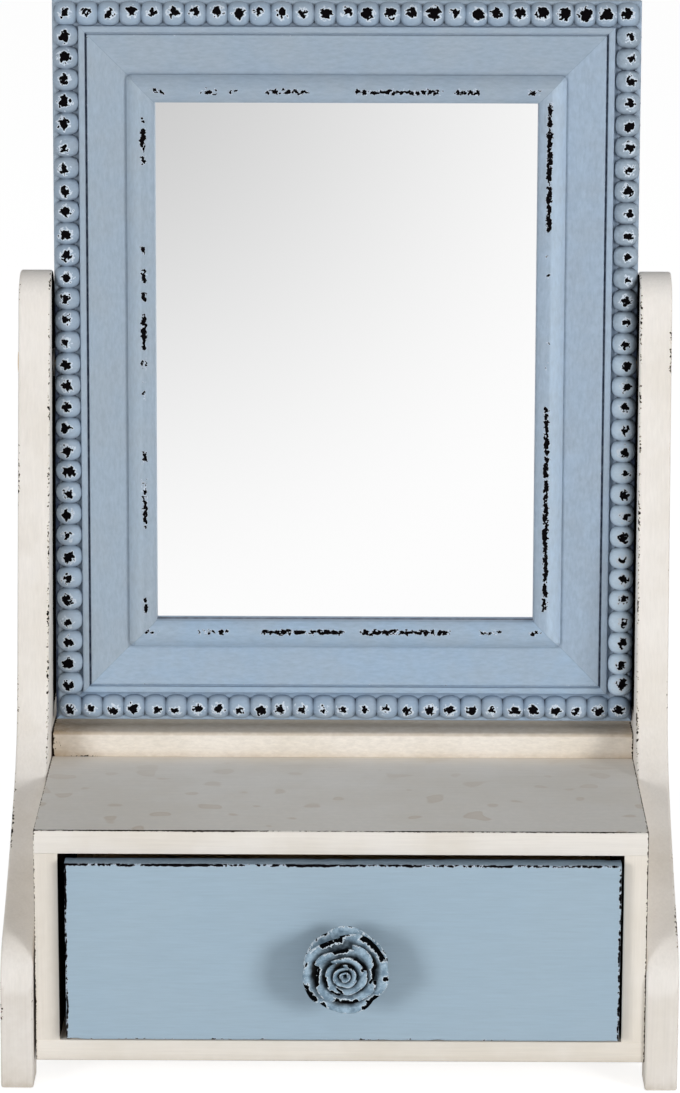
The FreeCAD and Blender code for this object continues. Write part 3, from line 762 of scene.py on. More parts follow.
    def _grimed_and_shaded(self, colour: Source) -> Source:
        """Wipes soiling and painted shade into the corners, where the mark "dirt" is high.

        Args:
            colour: the colour so far.

        Returns:
            The colour with the soiling and painted shade.
        """
        mark = add(self.tree, "Attribute", {"attribute_name": "dirt"})
        patch = add(
            self.tree, "TexNoise", values={"Scale": noise_at(GRIME_AND_SHADE_PATCH), "Detail": 3.0},
            links={"Vector": self.spot},
        )
        uneven = add(self.tree, "MapRange", values={1: 0.3, 2: 0.6, 3: 0.7, 4: 1.0}, links={0: patch})
        share = add(
            self.tree, "Math", {"operation": "MULTIPLY", "use_clamp": True},
            links={0: mark.outputs["Fac"], 1: uneven},
        )
        return add(
            self.tree, "Mix", COLOURS, {SECOND: to_linear(self.grime_and_shade)},
            {FACTOR: share, FIRST: colour},
        ).outputs[MIXED]

    def _worn(self) -> Source:
        """Works out how far wear is through the coat: noise plus a share of the mark "wear".

        Returns:
            A value that is past 1 where the coat is bare.
        """
        rub = self.rub
        stretched = add(self.tree, "Mapping", values={"Scale": rub.stretch}, links={"Vector": self.spot})
        lumps = add(
            self.tree, "TexNoise",
            values={"Scale": noise_at(rub.lump), "Detail": 2.5, "Roughness": 0.55, "Distortion": 0.3},
            links={"Vector": stretched},
        )
        mark = add(self.tree, "Attribute", {"attribute_name": "wear"})
        return add(
            self.tree, "Math", TIMES_PLUS, {1: 1.0 - rub.bite}, {0: mark.outputs["Fac"], 2: lumps},
        )

    def _rubbed(self, colour: Source) -> tuple[Source, Source]:
        """Rubs the coat through.

        Args:
            colour: the colour so far.

        Returns:
            The colour with thinned rims and bare patches, and the mask of the bare patches.
        """
        worn = self._worn()
        steps = ((1.0 - self.rub.halo, 0.02, self.rub.rim), (1.0, 0.012, self.rub.under))
        for level, soft, tint in steps:
            ramp = {1: level - soft, 2: level + soft, 3: 0.0, 4: 1.0}
            bare = add(self.tree, "MapRange", EASED, ramp, {0: worn})
            colour = add(
                self.tree, "Mix", COLOURS, {SECOND: to_linear(tint)}, {FACTOR: bare, FIRST: colour},
            ).outputs[MIXED]
        return colour, bare


@dataclass
class BeadPaint(Paint):
    """The same paint on turned beads, each knocked bare once near its crown.

    A chip is where the distance from the bead's own chip centre, bent by noise, is under a radius
    that differs from bead to bead. The mark "chip" holds (across, along, seed) in millimetres.

    Attributes:
        chip_size: mean radius of a chip.
        chip_spread: how much the radius varies.
        chip_bend: how far noise moves the rim.
        bend_size: size of the noise that moves it.
        fall: how fast the wear falls past the rim, for each millimetre.
    """

    chip_size: float = 2.35
    chip_spread: float = 0.6
    chip_bend: float = 3.6
    bend_size: float = 2.2
    fall: float = 0.08

    def _worn(self) -> Source:
        """Works out how far a knock is through the coat: 1 where the bent distance from the chip's
        centre is the bead's own radius, and more within.

        Returns:
            A value that is past 1 where the coat is bare.
        """
        mark = add(self.tree, "Attribute", {"attribute_name": "chip"})
        parts = add(self.tree, "SeparateXYZ", links={0: mark.outputs["Vector"]})
        bent = []
        for axis in (0, 1):
            # The two directions read the noise in places that are far apart.
            away = {"Location": (0.31 * axis, 0.17 * axis, 0.11 * axis)}
            shifted = add(self.tree, "Mapping", values=away, links={"Vector": self.spot})
            noise = add(
                self.tree, "TexNoise", values={"Scale": noise_at(self.bend_size), "Detail": 1.5},
                links={"Vector": shifted},
            )
            swing = add(
                self.tree, "Math", TIMES_PLUS,
                {1: 2 * self.chip_bend, 2: -self.chip_bend}, {0: noise},
            )
            moved = {0: parts.outputs[axis], 1: swing}
            bent.append(add(self.tree, "Math", {"operation": "ADD"}, links=moved))
        flat = add(self.tree, "CombineXYZ", links={0: bent[0], 1: bent[1]})
        reach = add(self.tree, "VectorMath", {"operation": "LENGTH"}, links={0: flat})
        radius = add(
            self.tree, "Math", TIMES_PLUS,
            {1: 2 * self.chip_spread, 2: self.chip_size - self.chip_spread}, {0: parts.outputs[2]},
        )
        depth = add(
            self.tree, "Math", {"operation": "SUBTRACT"}, links={0: radius, 1: reach.outputs["Value"]}
        )
        fall = {1: self.fall, 2: 1.0}
        return add(self.tree, "Math", TIMES_PLUS, fall, {0: depth})


@dataclass
class SidePaint(Paint):
    """The same kind of paint on a side panel, with painted shade: its inner face is painted near black
    where it lies in the shade beside the mirror.

    The painted shade covers what lies behind a slanting line and above a height. The mark "hidden" is 1
    on the inner face.

    Attributes:
        line: y of the slanting line in metres, carried down to z = 0.
        slope: how far that line goes back for each unit up.
        above: the height in metres.
        fades: over how many metres the painted shade starts, behind the line and above the height.
        shade_strength: how much the painted shade adds to the wear, which brings up the near-black
            undercoat.
    """

    line: float = 0.0
    slope: float = 0.0
    above: float = 0.0
    fades: tuple[float, float] = (0.004, 0.02)
    shade_strength: float = 1.2

    def _worn(self) -> Source:
        """Works out the wear, raised past 1 where the shade is painted.

        Returns:
            A value that is past 1 where the coat is bare.
        """
        across = {1: (0.0, 1.0, -self.slope)}
        behind = add(self.tree, "VectorMath", {"operation": "DOT_PRODUCT"}, across, {0: self.spot})
        height = add(self.tree, "SeparateXYZ", links={0: self.spot})
        share = add(self.tree, "Attribute", {"attribute_name": "hidden"}).outputs["Fac"]
        starts = (self.line, self.above)
        for start, fade, source in zip(starts, self.fades, (behind.outputs["Value"], height.outputs[2])):
            past = add(self.tree, "MapRange", values={1: start, 2: start + fade}, links={0: source})
            share = add(self.tree, "Math", TIMES, links={0: share, 1: past})
        raised = {0: share, 2: super()._worn()}
        return add(self.tree, "Math", TIMES_PLUS, {1: self.shade_strength}, raised)


@dataclass(frozen=True)
class Timber:
    """Planed bare wood: long darker growth lines, drawn out along the board, and fine pores.

    Attributes:
        pale: colour between the lines.
        dark: colour of the lines.
        grain: which way they run.
        line_gap: spacing of the lines in millimetres.
        draw: how much shorter than long a line is.
        pore: size of the pores in millimetres.
        roughness: roughness of the planed face.
    """

    name: str
    pale: str
    dark: str
    grain: Axis
    line_gap: float
    draw: float = 0.06
    pore: float = 0.7
    roughness: float = 0.6

    def make(self) -> Material:
        """Builds the material, which reads Object coordinates."""
        material, tree = blank(self.name)
        scale = tuple(self.draw if axis is self.grain else 1.0 for axis in Axis)
        drawn = add(
            tree, "Mapping", values={"Scale": scale},
            links={"Vector": add(tree, "TexCoord").outputs["Object"]},
        )
        lines = add(
            tree, "TexNoise",
            values={"Scale": noise_at(self.line_gap), "Detail": 5.0, "Roughness": 0.6, "Distortion": 0.4},
            links={"Vector": drawn},
        )
        pores = add(
            tree, "TexNoise", values={"Scale": noise_at(self.pore), "Detail": 2.0}, links={"Vector": drawn}
        )
        share = add(tree, "MapRange", values={1: 0.38, 2: 0.66}, links={0: lines})
        colour = add(
            tree, "Mix", COLOURS,
            {FIRST: to_linear(self.pale), SECOND: to_linear(self.dark)}, {FACTOR: share},
        ).outputs[MIXED]
        bump = add(tree, "Bump", values={"Strength": 0.4, "Distance": 0.1 * MM}, links={"Height": pores})
        shader = add(
            tree, "BsdfPrincipled", values={"Roughness": self.roughness, "IOR": 1.5},
            links={"Base Color": colour, "Normal": bump},
        )
        add(tree, "OutputMaterial", links={"Surface": shader})
        return material


@dataclass(frozen=True)
class Plain:
    """A material that shows fine texture only: metal, nylon, felt or pressed board.

    Attributes:
        colour: its colour.
        speckle: the second colour of the fine texture.
        size: size of the texture in millimetres.
        metallic: 1 for bare metal.
        roughness: roughness of the surface.
        rise: height of the texture in millimetres.
    """

    name: str
    colour: str
    speckle: str
    size: float
    metallic: float
    roughness: float
    rise: float

    def make(self) -> Material:
        """Builds the material, which reads Object coordinates."""
        material, tree = blank(self.name)
        specks = add(
            tree, "TexNoise",
            values={"Scale": noise_at(self.size), "Detail": 4.0, "Roughness": 0.7},
            links={"Vector": add(tree, "TexCoord").outputs["Object"]},
        )
        share = add(tree, "MapRange", values={1: 0.35, 2: 0.65}, links={0: specks})
        colour = add(
            tree, "Mix", COLOURS,
            {FIRST: to_linear(self.colour), SECOND: to_linear(self.speckle)}, {FACTOR: share},
        ).outputs[MIXED]
        grit = {"Strength": 0.5, "Distance": self.rise * MM}
        bump = add(tree, "Bump", values=grit, links={"Height": specks})
        shader = add(
            tree, "BsdfPrincipled", values={"Roughness": self.roughness, "Metallic": self.metallic},
            links={"Base Color": colour, "Normal": bump},
        )
        add(tree, "OutputMaterial", links={"Surface": shader})
        return material


@dataclass(frozen=True)
class SilveredGlass:
    """Float glass silvered on its back: a clear bright reflection with the faintest smear.

    Attributes:
        tint: what is left of white light.
        smear: size of the smears in millimetres.
        haze: roughness where they are thickest.
    """

    name: str = "silvered_float_glass"
    tint: str = "#FDFDFD"
    smear: float = 60.0
    haze: float = 0.035

    def make(self) -> Material:
        """Builds the material, which reads Object coordinates."""
        material, tree = blank(self.name)
        smears = add(
            tree, "TexNoise", values={"Scale": noise_at(self.smear), "Detail": 3.0},
            links={"Vector": add(tree, "TexCoord").outputs["Object"]},
        )
        levels = {1: 0.3, 2: 0.7, 3: 0.0, 4: self.haze}
        haze = add(tree, "MapRange", values=levels, links={0: smears})
        shader = add(
            tree, "BsdfPrincipled", values={"Base Color": to_linear(self.tint), "Metallic": 1.0},
            links={"Roughness": haze},
        )
        add(tree, "OutputMaterial", links={"Surface": shader})
        return material


# The finishes of this vanity, each named for what the real one is.
# Its dark undercoat shows at chips and, inside the case, as painted shade; its grime_and_shade colour is
# also the painted shade on the left wall.
CREAM = Paint(
    "cream_eggshell_paint", coat="#EFE8DE", cloud="#E4DBCD", grime_and_shade="#9C8B72", cloud_size=60.0,
    brush=Axis.UP, brush_tone=0.035,
    rub=Rub(lump=1.6, bite=0.60, halo=0.03, under="#2A2019", rim="#DCCFBB"),
)
# Its near-black undercoat shows at chips and as the painted shade on the panels' inner faces.
CREAM_SIDES = SidePaint(
    "cream_eggshell_paint_on_sides", coat="#F1ECE6", cloud="#E6DFD5", grime_and_shade="#9C8B72",
    cloud_size=60.0, brush=Axis.UP, brush_tone=0.035, rub=replace(CREAM.rub, under="#0E0B09"),
)
CREAM_ACROSS = replace(CREAM, name="cream_eggshell_paint_across", brush=Axis.ACROSS)
# Its grime_and_shade colour is the grey layer of painted shade on the cabinet top.
CREAM_STAINED = replace(
    CREAM_ACROSS, name="cream_eggshell_paint_stained", coat="#EDE8E1", cloud="#E2DACE",
    grime_and_shade="#D4D1CA", stain="#AE9069",
)
# Its grime_and_shade colour is both the tan at the rail's ends and the painted shade at its foot and on
# its top.
CREAM_ON_RAIL = replace(
    CREAM_ACROSS, name="cream_eggshell_paint_on_rail", grime_and_shade="#A58A66", brush_tone=0.075,
    brush_gap=1.5, draw=0.35,
)
# Its grime_and_shade colour marks the mitres and is the painted shade in the moulding's hollows, beside
# the glass and beside the uprights.
FRAME_BLUE = Paint(
    "blue_chalk_paint", coat="#9DB1C6", cloud="#A8AFB4", grime_and_shade="#2E3B54", cloud_size=24.0,
    cloud_share=0.25, brush=Axis.ACROSS, brush_gap=1.6, brush_tone=0.075, draw=0.3,
    rub=Rub(lump=2.1, bite=0.42, halo=0.04),
)
# Its grime_and_shade colour is the painted shade where the beads meet and at their feet.
BEAD_BLUE = BeadPaint(
    "blue_chalk_paint_on_beads", coat="#9FB3C8", cloud="#A8B6C4", grime_and_shade="#1C2639", cloud_size=20.0,
    brush_tone=0.055, draw=0.2, rub=Rub(halo=0.08, rim="#CFDAE6"),
)
# Its grime_and_shade colour is the painted shade on the drawer front's top, sides and back.
DRAWER_BLUE = replace(
    FRAME_BLUE, name="blue_chalk_paint_on_drawer", coat="#A1B7C7", cloud="#A6B8C4", grime_and_shade="#50647A",
    cloud_size=70.0, brush_tone=0.04, brush_gap=1.0, draw=0.06,
)
# Its wide pale rim is both the thinned paint round the rubbed strokes and a painted highlight along the
# petal rims.
ROSE_BLUE = replace(
    FRAME_BLUE, name="antiqued_chalk_paint_on_resin", coat="#A2BBCD", cloud="#5F798D",
    grime_and_shade="#0A0B0D", cloud_size=4.0, cloud_share=0.85, brush_tone=0.13, brush_gap=0.7, draw=0.2,
    rub=Rub(lump=2.2, bite=0.5, halo=0.14, under="#08090B", rim="#CBD8E2"),
)
PINE = Timber("planed_pine", "#E0C08F", "#C39B66", Axis.DEEP, 4.5)
PINE_ACROSS = replace(PINE, name="planed_pine_across", grain=Axis.ACROSS)
BEECH = Timber("turned_beech", "#DDBD93", "#C8A178", Axis.UP, 1.6)
PLYWOOD = Timber("birch_plywood", "#D9BE95", "#C6A67A", Axis.UP, 6.0)
HARDBOARD = Plain("pressed_hardboard", "#8A6544", "#6F4D32", 1.2, 0.0, 0.7, 0.05)
ZINC = Plain("zinc_plated_steel", "#C6C9CC", "#AEB3B8", 1.5, 1.0, 0.34, 0.01)
BRASS = Plain("turned_brass", "#D8B062", "#C69A4B", 1.2, 1.0, 0.3, 0.01)
NYLON = Plain("moulded_nylon", "#2B2926", "#24221F", 2.0, 0.0, 0.45, 0.01)
FELT = Plain("pressed_felt", "#6F6A66", "#57524E", 0.5, 0.0, 0.95, 0.15)


# -------------------- base


@dataclass
class SidePanels:
    """The two shaped sides: foot, sweep, neck and a leaning upright with a round top.

    Most attributes are sizes of the outline seen from the side, with y = 0 at the cabinet's front.

    Attributes:
        pivot: (y, z) of the pivot bolts.
        head_seat: radius and depth of the seat of a bolt's head.
        left_lean: how many degrees the left panel leans inwards.
        lean_about: the height at which that moves nothing.
        shade_top: the height at which the painted shade's line is measured.
        shade_low: the height where the painted shade starts.
        shade_behind: how far behind the front edge the painted shade starts there, left and right.
        shade_spread: how much further behind it starts for each unit down, left and right.
        streak: the height and half height of the darker streaks on the sweep.
    """

    stand: Stand
    inner: float = 167.0
    thick: float = 18.0
    back: float = 190.0
    foot_front: float = -3.0
    floor: float = 1.2
    foot_rise: float = 58.0
    foot_round: float = 30.0
    foot_turn: float = 70.0
    neck_rise: float = 190.0
    lean: float = 7.8
    neck_round: float = 75.0
    neck_turn: float = 50.0
    sweep_round: float = 500.0
    top_rise: float = 408.0
    top_round: float = 18.0
    arch_high: float = 15.0
    arch_round: float = 9.0
    foot_deep: float = 22.0
    heel_deep: float = 24.0
    pivot: tuple[float, float] = (172.0, 373.0)
    head_seat: tuple[float, float] = (7.5, 2.4)
    left_lean: float = 0.46
    lean_about: float = 190.0
    shade_top: float = 400.0
    shade_low: float = 165.0
    shade_behind: tuple[float, float] = (10.0, 5.0)
    shade_spread: tuple[float, float] = (0.11, 0.06)
    streak: tuple[float, float] = (112.0, 36.0)

    def outline(self) -> Array:
        """The panel's outline as straight edges and tangent arcs, inside on the left.

        Returns:
            An array (count, 2) of (y, z).
        """
        lean, turn, foot = (math.radians(angle) for angle in (self.lean, self.neck_turn, self.foot_turn))
        centre = self.back - self.top_round
        tangent = (
            centre - self.top_round * math.cos(lean), self.top_rise + self.top_round * math.sin(lean)
        )
        neck = tangent[0] - (tangent[1] - self.neck_rise) * math.tan(lean)
        neck_end = (
            neck - self.neck_round * (math.cos(lean) - math.cos(turn)),
            self.neck_rise + self.neck_round * (math.sin(lean) - math.sin(turn)),
        )
        crease = (
            self.foot_front + self.foot_round * (1 - math.cos(foot)),
            self.foot_rise + self.foot_round * math.sin(foot),
        )
        arch_front = self.foot_front + self.foot_deep
        arch_back = self.back - self.heel_deep
        arch_top = self.floor + self.arch_high
        shoulder = arch_top - self.arch_round
        corners = [
            (self.foot_front, self.floor), (arch_front, self.floor),
            (arch_front, shoulder, self.arch_round, -1), (arch_front + self.arch_round, arch_top),
            (arch_back - self.arch_round, arch_top, self.arch_round, -1), (arch_back, shoulder),
            (arch_back, self.floor), (self.back, self.floor),
            (self.back, self.top_rise, self.top_round, 1),
            (centre, self.top_rise + self.top_round, self.top_round, 1), tangent,
            (neck, self.neck_rise, self.neck_round, -1), (*neck_end, self.sweep_round, -1),
            (*crease, self.foot_round, 1), (self.foot_front, self.foot_rise),
        ]
        return traced(corners, 3.0)

    def build(self) -> None:
        """Makes both panels."""
        outline = self.outline()
        slope = math.tan(math.radians(self.lean))
        front = self.back - 2 * self.top_round - self.top_rise * slope
        arris = Arris(round=1.3, steps=4, rub=1.6, chip=0.25)
        # The painted shade on each panel's inner face, near black where it lies beside the mirror.
        bare = zip(self.shade_behind, self.shade_spread)
        for side, sign, (behind, spread) in zip(("left", "right"), (-1, 1), bare):
            start = front + behind + self.shade_top * spread
            low = self.stand.place(np.array([0.0, start, 0.0]))
            paint = replace(
                CREAM_SIDES, name=f"{CREAM_SIDES.name}_{side}",
                line=low[1] - low[2] * (slope - spread), slope=slope - spread,
                above=self.shade_low * MM,
            ).make()
            ends = sorted((sign * self.inner, sign * (self.inner + self.thick)))
            seat = Bore(self.pivot, *self.head_seat, sign > 0)
            panel = slab(outline, Axis.ACROSS, *ends, arris, 11 + sign, seat)
            x, y, z = panel.points.T
            # Painted shade: along the inner arris beside the mirror the wear is set higher, so it shows as
            # a broken dark line in the gap; other arrises are knocked at random.
            shaded_by_mirror = (np.abs(x) < self.inner + 2) & (z > self.neck_rise - 40)
            rubbed = 1.02 + 0.25 * wander(panel.points, 22.0, 5 + sign)
            knocked = 0.75 + 0.5 * wander(panel.points, 60.0, 7 + sign)
            panel.marks["wear"] *= np.where(shaded_by_mirror, rubbed, knocked)
            # Darker streaks over the sweep, darker feet, the left one more, and darkest along the floor
            # line.
            streaks = wander(panel.points * [0.3, 1, 1], 17.0, 9)
            middle, reach = self.streak
            on_sweep = np.exp(-(((z - middle) / reach) ** 2)) * (0.8 + 0.5 * streaks)
            at_foot = (0.14 - 0.04 * sign) * (z < self.foot_rise) + 0.5 * np.exp(-z / 4.0)
            panel.marks["dirt"] = np.clip(0.2 * on_sweep + at_foot, 0, 1)
            panel.marks["hidden"] = (np.abs(x) < self.inner + 0.01) * 1.0
            if side == "left":
                panel.points[:, 0] += (z - self.lean_about) * math.tan(math.radians(self.left_lean))
            node = f"{side}_side_panel"
            self.stand.put(f"painted_{node}", panel, paint, "cream_paint", node)


@dataclass
class Cabinet:
    """The drawer's case: floor, top, two walls, back and the rail behind the mirror's foot.

    Attributes:
        half: half the width between the side panels.
        floor: thickness of the bottom board.
        roof: thickness of the top board.
        wall: thickness of the walls.
        rail: front and back of the rail, and its height.
        edge_line: how far behind the front the worn line on the top lies, and its half width.
    """

    stand: Stand
    half: float = 167.0
    low: float = 16.0
    high: float = 148.0
    deep: float = 186.0
    floor: float = 12.0
    roof: float = 13.0
    wall: float = 13.0
    rail: tuple[float, float, float] = (142.0, 186.0, 14.5)
    edge_line: tuple[float, float] = (1.3, 0.8)

    def _wear(self, board: Surface) -> Array:
        """The wear of a board: little but beside the side panels, where the joint shows as a dark
        line, broken on the left, and full inside the case, which paints the inside near black as painted
        shade.

        Args:
            board: the board, with the mark "wear" that its arrises gave it.

        Returns:
            The new mark.
        """
        x, y, z = board.points.T
        beside = np.where(x > 0, 1.75, 1.5 + 0.3 * wander(board.points, 30.0, 12))
        edges = board.marks["wear"] * np.where(np.abs(x) > self.half - 2, beside, 0.4)
        inside_x = np.abs(x) < self.half - self.wall + 0.1
        inside_z = (z > self.low + self.floor - 0.1) & (z < self.high - self.roof + 0.1)
        # Painted shade: inside the case the wear is full, so the faces show the dark undercoat.
        return np.where(inside_x & inside_z & (y > 1.5), 2.0, edges)

    def build(self) -> None:
        """Makes the boards."""
        put = self.stand.put
        plain = CREAM_ACROSS.make()
        on_rail = CREAM_ON_RAIL.make()
        upright = CREAM.make()
        stained = CREAM_STAINED.make()
        snug = Arris(round=0.35, steps=2, rub=1.2)
        top_corners = [
            (0.0, self.high - self.roof, 0.35), (self.deep, self.high - self.roof, 0.35),
            (self.deep, self.high, 0.6), (2.6, self.high, 0.0), (0.0, self.high, 1.3),
        ]
        outline = softened(top_corners, 4)
        top = slab(outline, Axis.ACROSS, -self.half, self.half, snug, 21, stations=40)
        x, y, z = top.points.T
        # Painted shade: a grey layer over the top, greyest at the front and gone at the rail; the stains
        # show only where it lies.
        front_shade_and_stains = 0.6 * np.clip(1 - y / self.rail[0], 0, 1) ** 0.6
        behind, reach = self.edge_line
        edge_line = np.exp(-(((y - behind) / reach) ** 2)) * (z > self.high - 0.6)
        top.marks["wear"] = self._wear(top) + 2.3 * edge_line * (1 + 0.6 * wander(top.points, 60.0, 8))
        top.marks["dirt"] = front_shade_and_stains * (z > self.high - 0.2)
        put("painted_cabinet_top", top, stained, "cream_paint", "cabinet_top")

        floor_corners = [
            (0.0, self.low, 1.0), (self.deep, self.low, 0.35),
            (self.deep, self.low + self.floor, 0.35), (0.0, self.low + self.floor, 0.6),
        ]
        floor = slab(softened(floor_corners, 3), Axis.ACROSS, -self.half, self.half, snug, 22)
        floor.marks["wear"] = self._wear(floor)
        # Darker toward its underside.
        floor.marks["dirt"] = 0.25 * np.exp(-(floor.points[:, 2] - self.low) / 2.0)
        put("painted_cabinet_bottom", floor, plain, "cream_paint", "cabinet_bottom")

        for side, sign in (("left", -1), ("right", 1)):
            ends = sorted((sign * self.half, sign * (self.half - self.wall)))
            outline = box_outline(0, self.deep, self.low + self.floor, self.high - self.roof)
            wall = slab(outline, Axis.ACROSS, *ends, snug, 23 + sign)
            wall.marks["wear"] = self._wear(wall)
            # Painted shade: the left wall is a little darker than the right.
            wall.marks["dirt"] = np.full(len(wall.points), 0.06 - 0.06 * sign)
            node = f"cabinet_{side}_wall"
            put(f"painted_{node}", wall, upright, "cream_paint", node)

        front, back, high = self.rail
        rail_corners = [
            (front, self.high, 0.3), (back, self.high, 0.3), (back, self.high + high, 1.2),
            (front, self.high + high, 2.0),
        ]
        outline = softened(rail_corners, 4)
        rail = slab(outline, Axis.ACROSS, -self.half, self.half, snug, 27, stations=60)
        x, y, z = rail.points.T
        # Painted shade: darker along the rail's foot and, as the mirror's shadow, over its top; its ends
        # are darker and tan, the left one more.
        foot = np.exp(-(z - self.high) / 2.5)
        ends_share = np.clip((np.abs(x) - 112.0) / 50.0, 0, 1) ** 2
        left_end = np.clip((-x - 135.0) / 28.0, 0, 1)
        dash = np.exp(-(((x + 144.0) / 11.0) ** 4)) * (z < self.high + 0.5)
        rail.marks["wear"] = 0.7 * self._wear(rail) + 0.5 * ends_share + 0.35 * left_end + 0.8 * dash
        shade_under_mirror = z > self.high + high - 1.5
        dirt = 0.4 * foot + 0.2 * ends_share + 0.22 * left_end + 0.42 * shade_under_mirror
        rail.marks["dirt"] = np.clip(dirt, 0, 1)
        put("painted_back_rail", rail, on_rail, "cream_paint", "back_rail")


# -------------------- drawer


@dataclass
class Drawer:
    """The drawer's front, its box being left as the CAD has it. It stands proud of the cabinet."""

    stand: Stand
    middle: float = 1.2
    wide: float = 302.0
    low: float = 31.2
    high: float = 131.8
    proud: float = 8.0
    thick: float = 12.0

    def build(self) -> None:
        """Makes the front, its top arris worn through most of the way along."""
        outline = box_outline(
            self.middle - self.wide / 2, self.middle + self.wide / 2, self.low, self.high
        )
        arris = Arris(round=1.1, steps=4, rub=1.1, chip=0.6, chip_wave=7.0)
        front = slab(outline, Axis.DEEP, -self.proud, self.thick - self.proud, arris, 31)
        x, y, z = front.points.T
        at_front = y < -self.proud + 3.5
        top = (z > self.high - 2.8) & at_front
        sides = (np.abs(x - self.middle) > self.wide / 2 - 2.0) & at_front
        level = np.where(top | sides, 1.05, 0.6)
        swing = 0.22 * wander(front.points, 34.0, 7) + 0.18 * wander(front.points, 9.0, 8)
        front.marks["wear"] *= (level + swing) * at_front
        # Painted shade: every face of the front but its face is darker, as the shade under the cabinet's
        # top.
        front.marks["dirt"] = 0.55 * (y > -self.proud + 0.8)
        paint = DRAWER_BLUE.make()
        self.stand.put("painted_drawer_front", front, paint, "blue_paint", "drawer_front")


@dataclass(frozen=True)
class PetalRing:
    """One ring of like petals of the rose.

    Attributes:
        count: how many.
        first: angle of the first one's middle in degrees.
        half: half the angle that a petal spans in degrees.
        root: (out, forward) where it leaves the core.
        rim: (out, forward) of its rim's middle.
        curl: how far the rim turns back.
        droop: how far its corners fall short of the middle.
        wrap: how far one corner lies outside and the other inside.
        thick: thickness.
        black_to: how far out the crevice in front of it is black.
        black: the sectors (middle, half) in degrees where that crevice is blackest.
        rubbed: the sectors where its rim is rubbed bare.
    """

    count: int
    first: float
    half: float
    root: tuple[float, float]
    rim: tuple[float, float]
    curl: float
    droop: float
    wrap: float
    thick: float
    black_to: float
    black: tuple[tuple[float, float], ...] = ()
    rubbed: tuple[tuple[float, float], ...] = ()


# Over how many degrees a sector's end fades.
SECTOR_FADE = 6


def in_sectors(angle: Array, sectors: tuple[tuple[float, float], ...]) -> Array:
    """Gives 1 where an angle in radians lies in one of the sectors, each (middle, half) in degrees,
    and falls to 0 just past their ends."""
    share = np.zeros_like(angle)
    for middle, half in sectors:
        off = np.abs((np.degrees(angle) - middle + 180) % 360 - 180)
        share = np.maximum(share, np.clip((half - off) / SECTOR_FADE + 0.5, 0, 1))
    return share


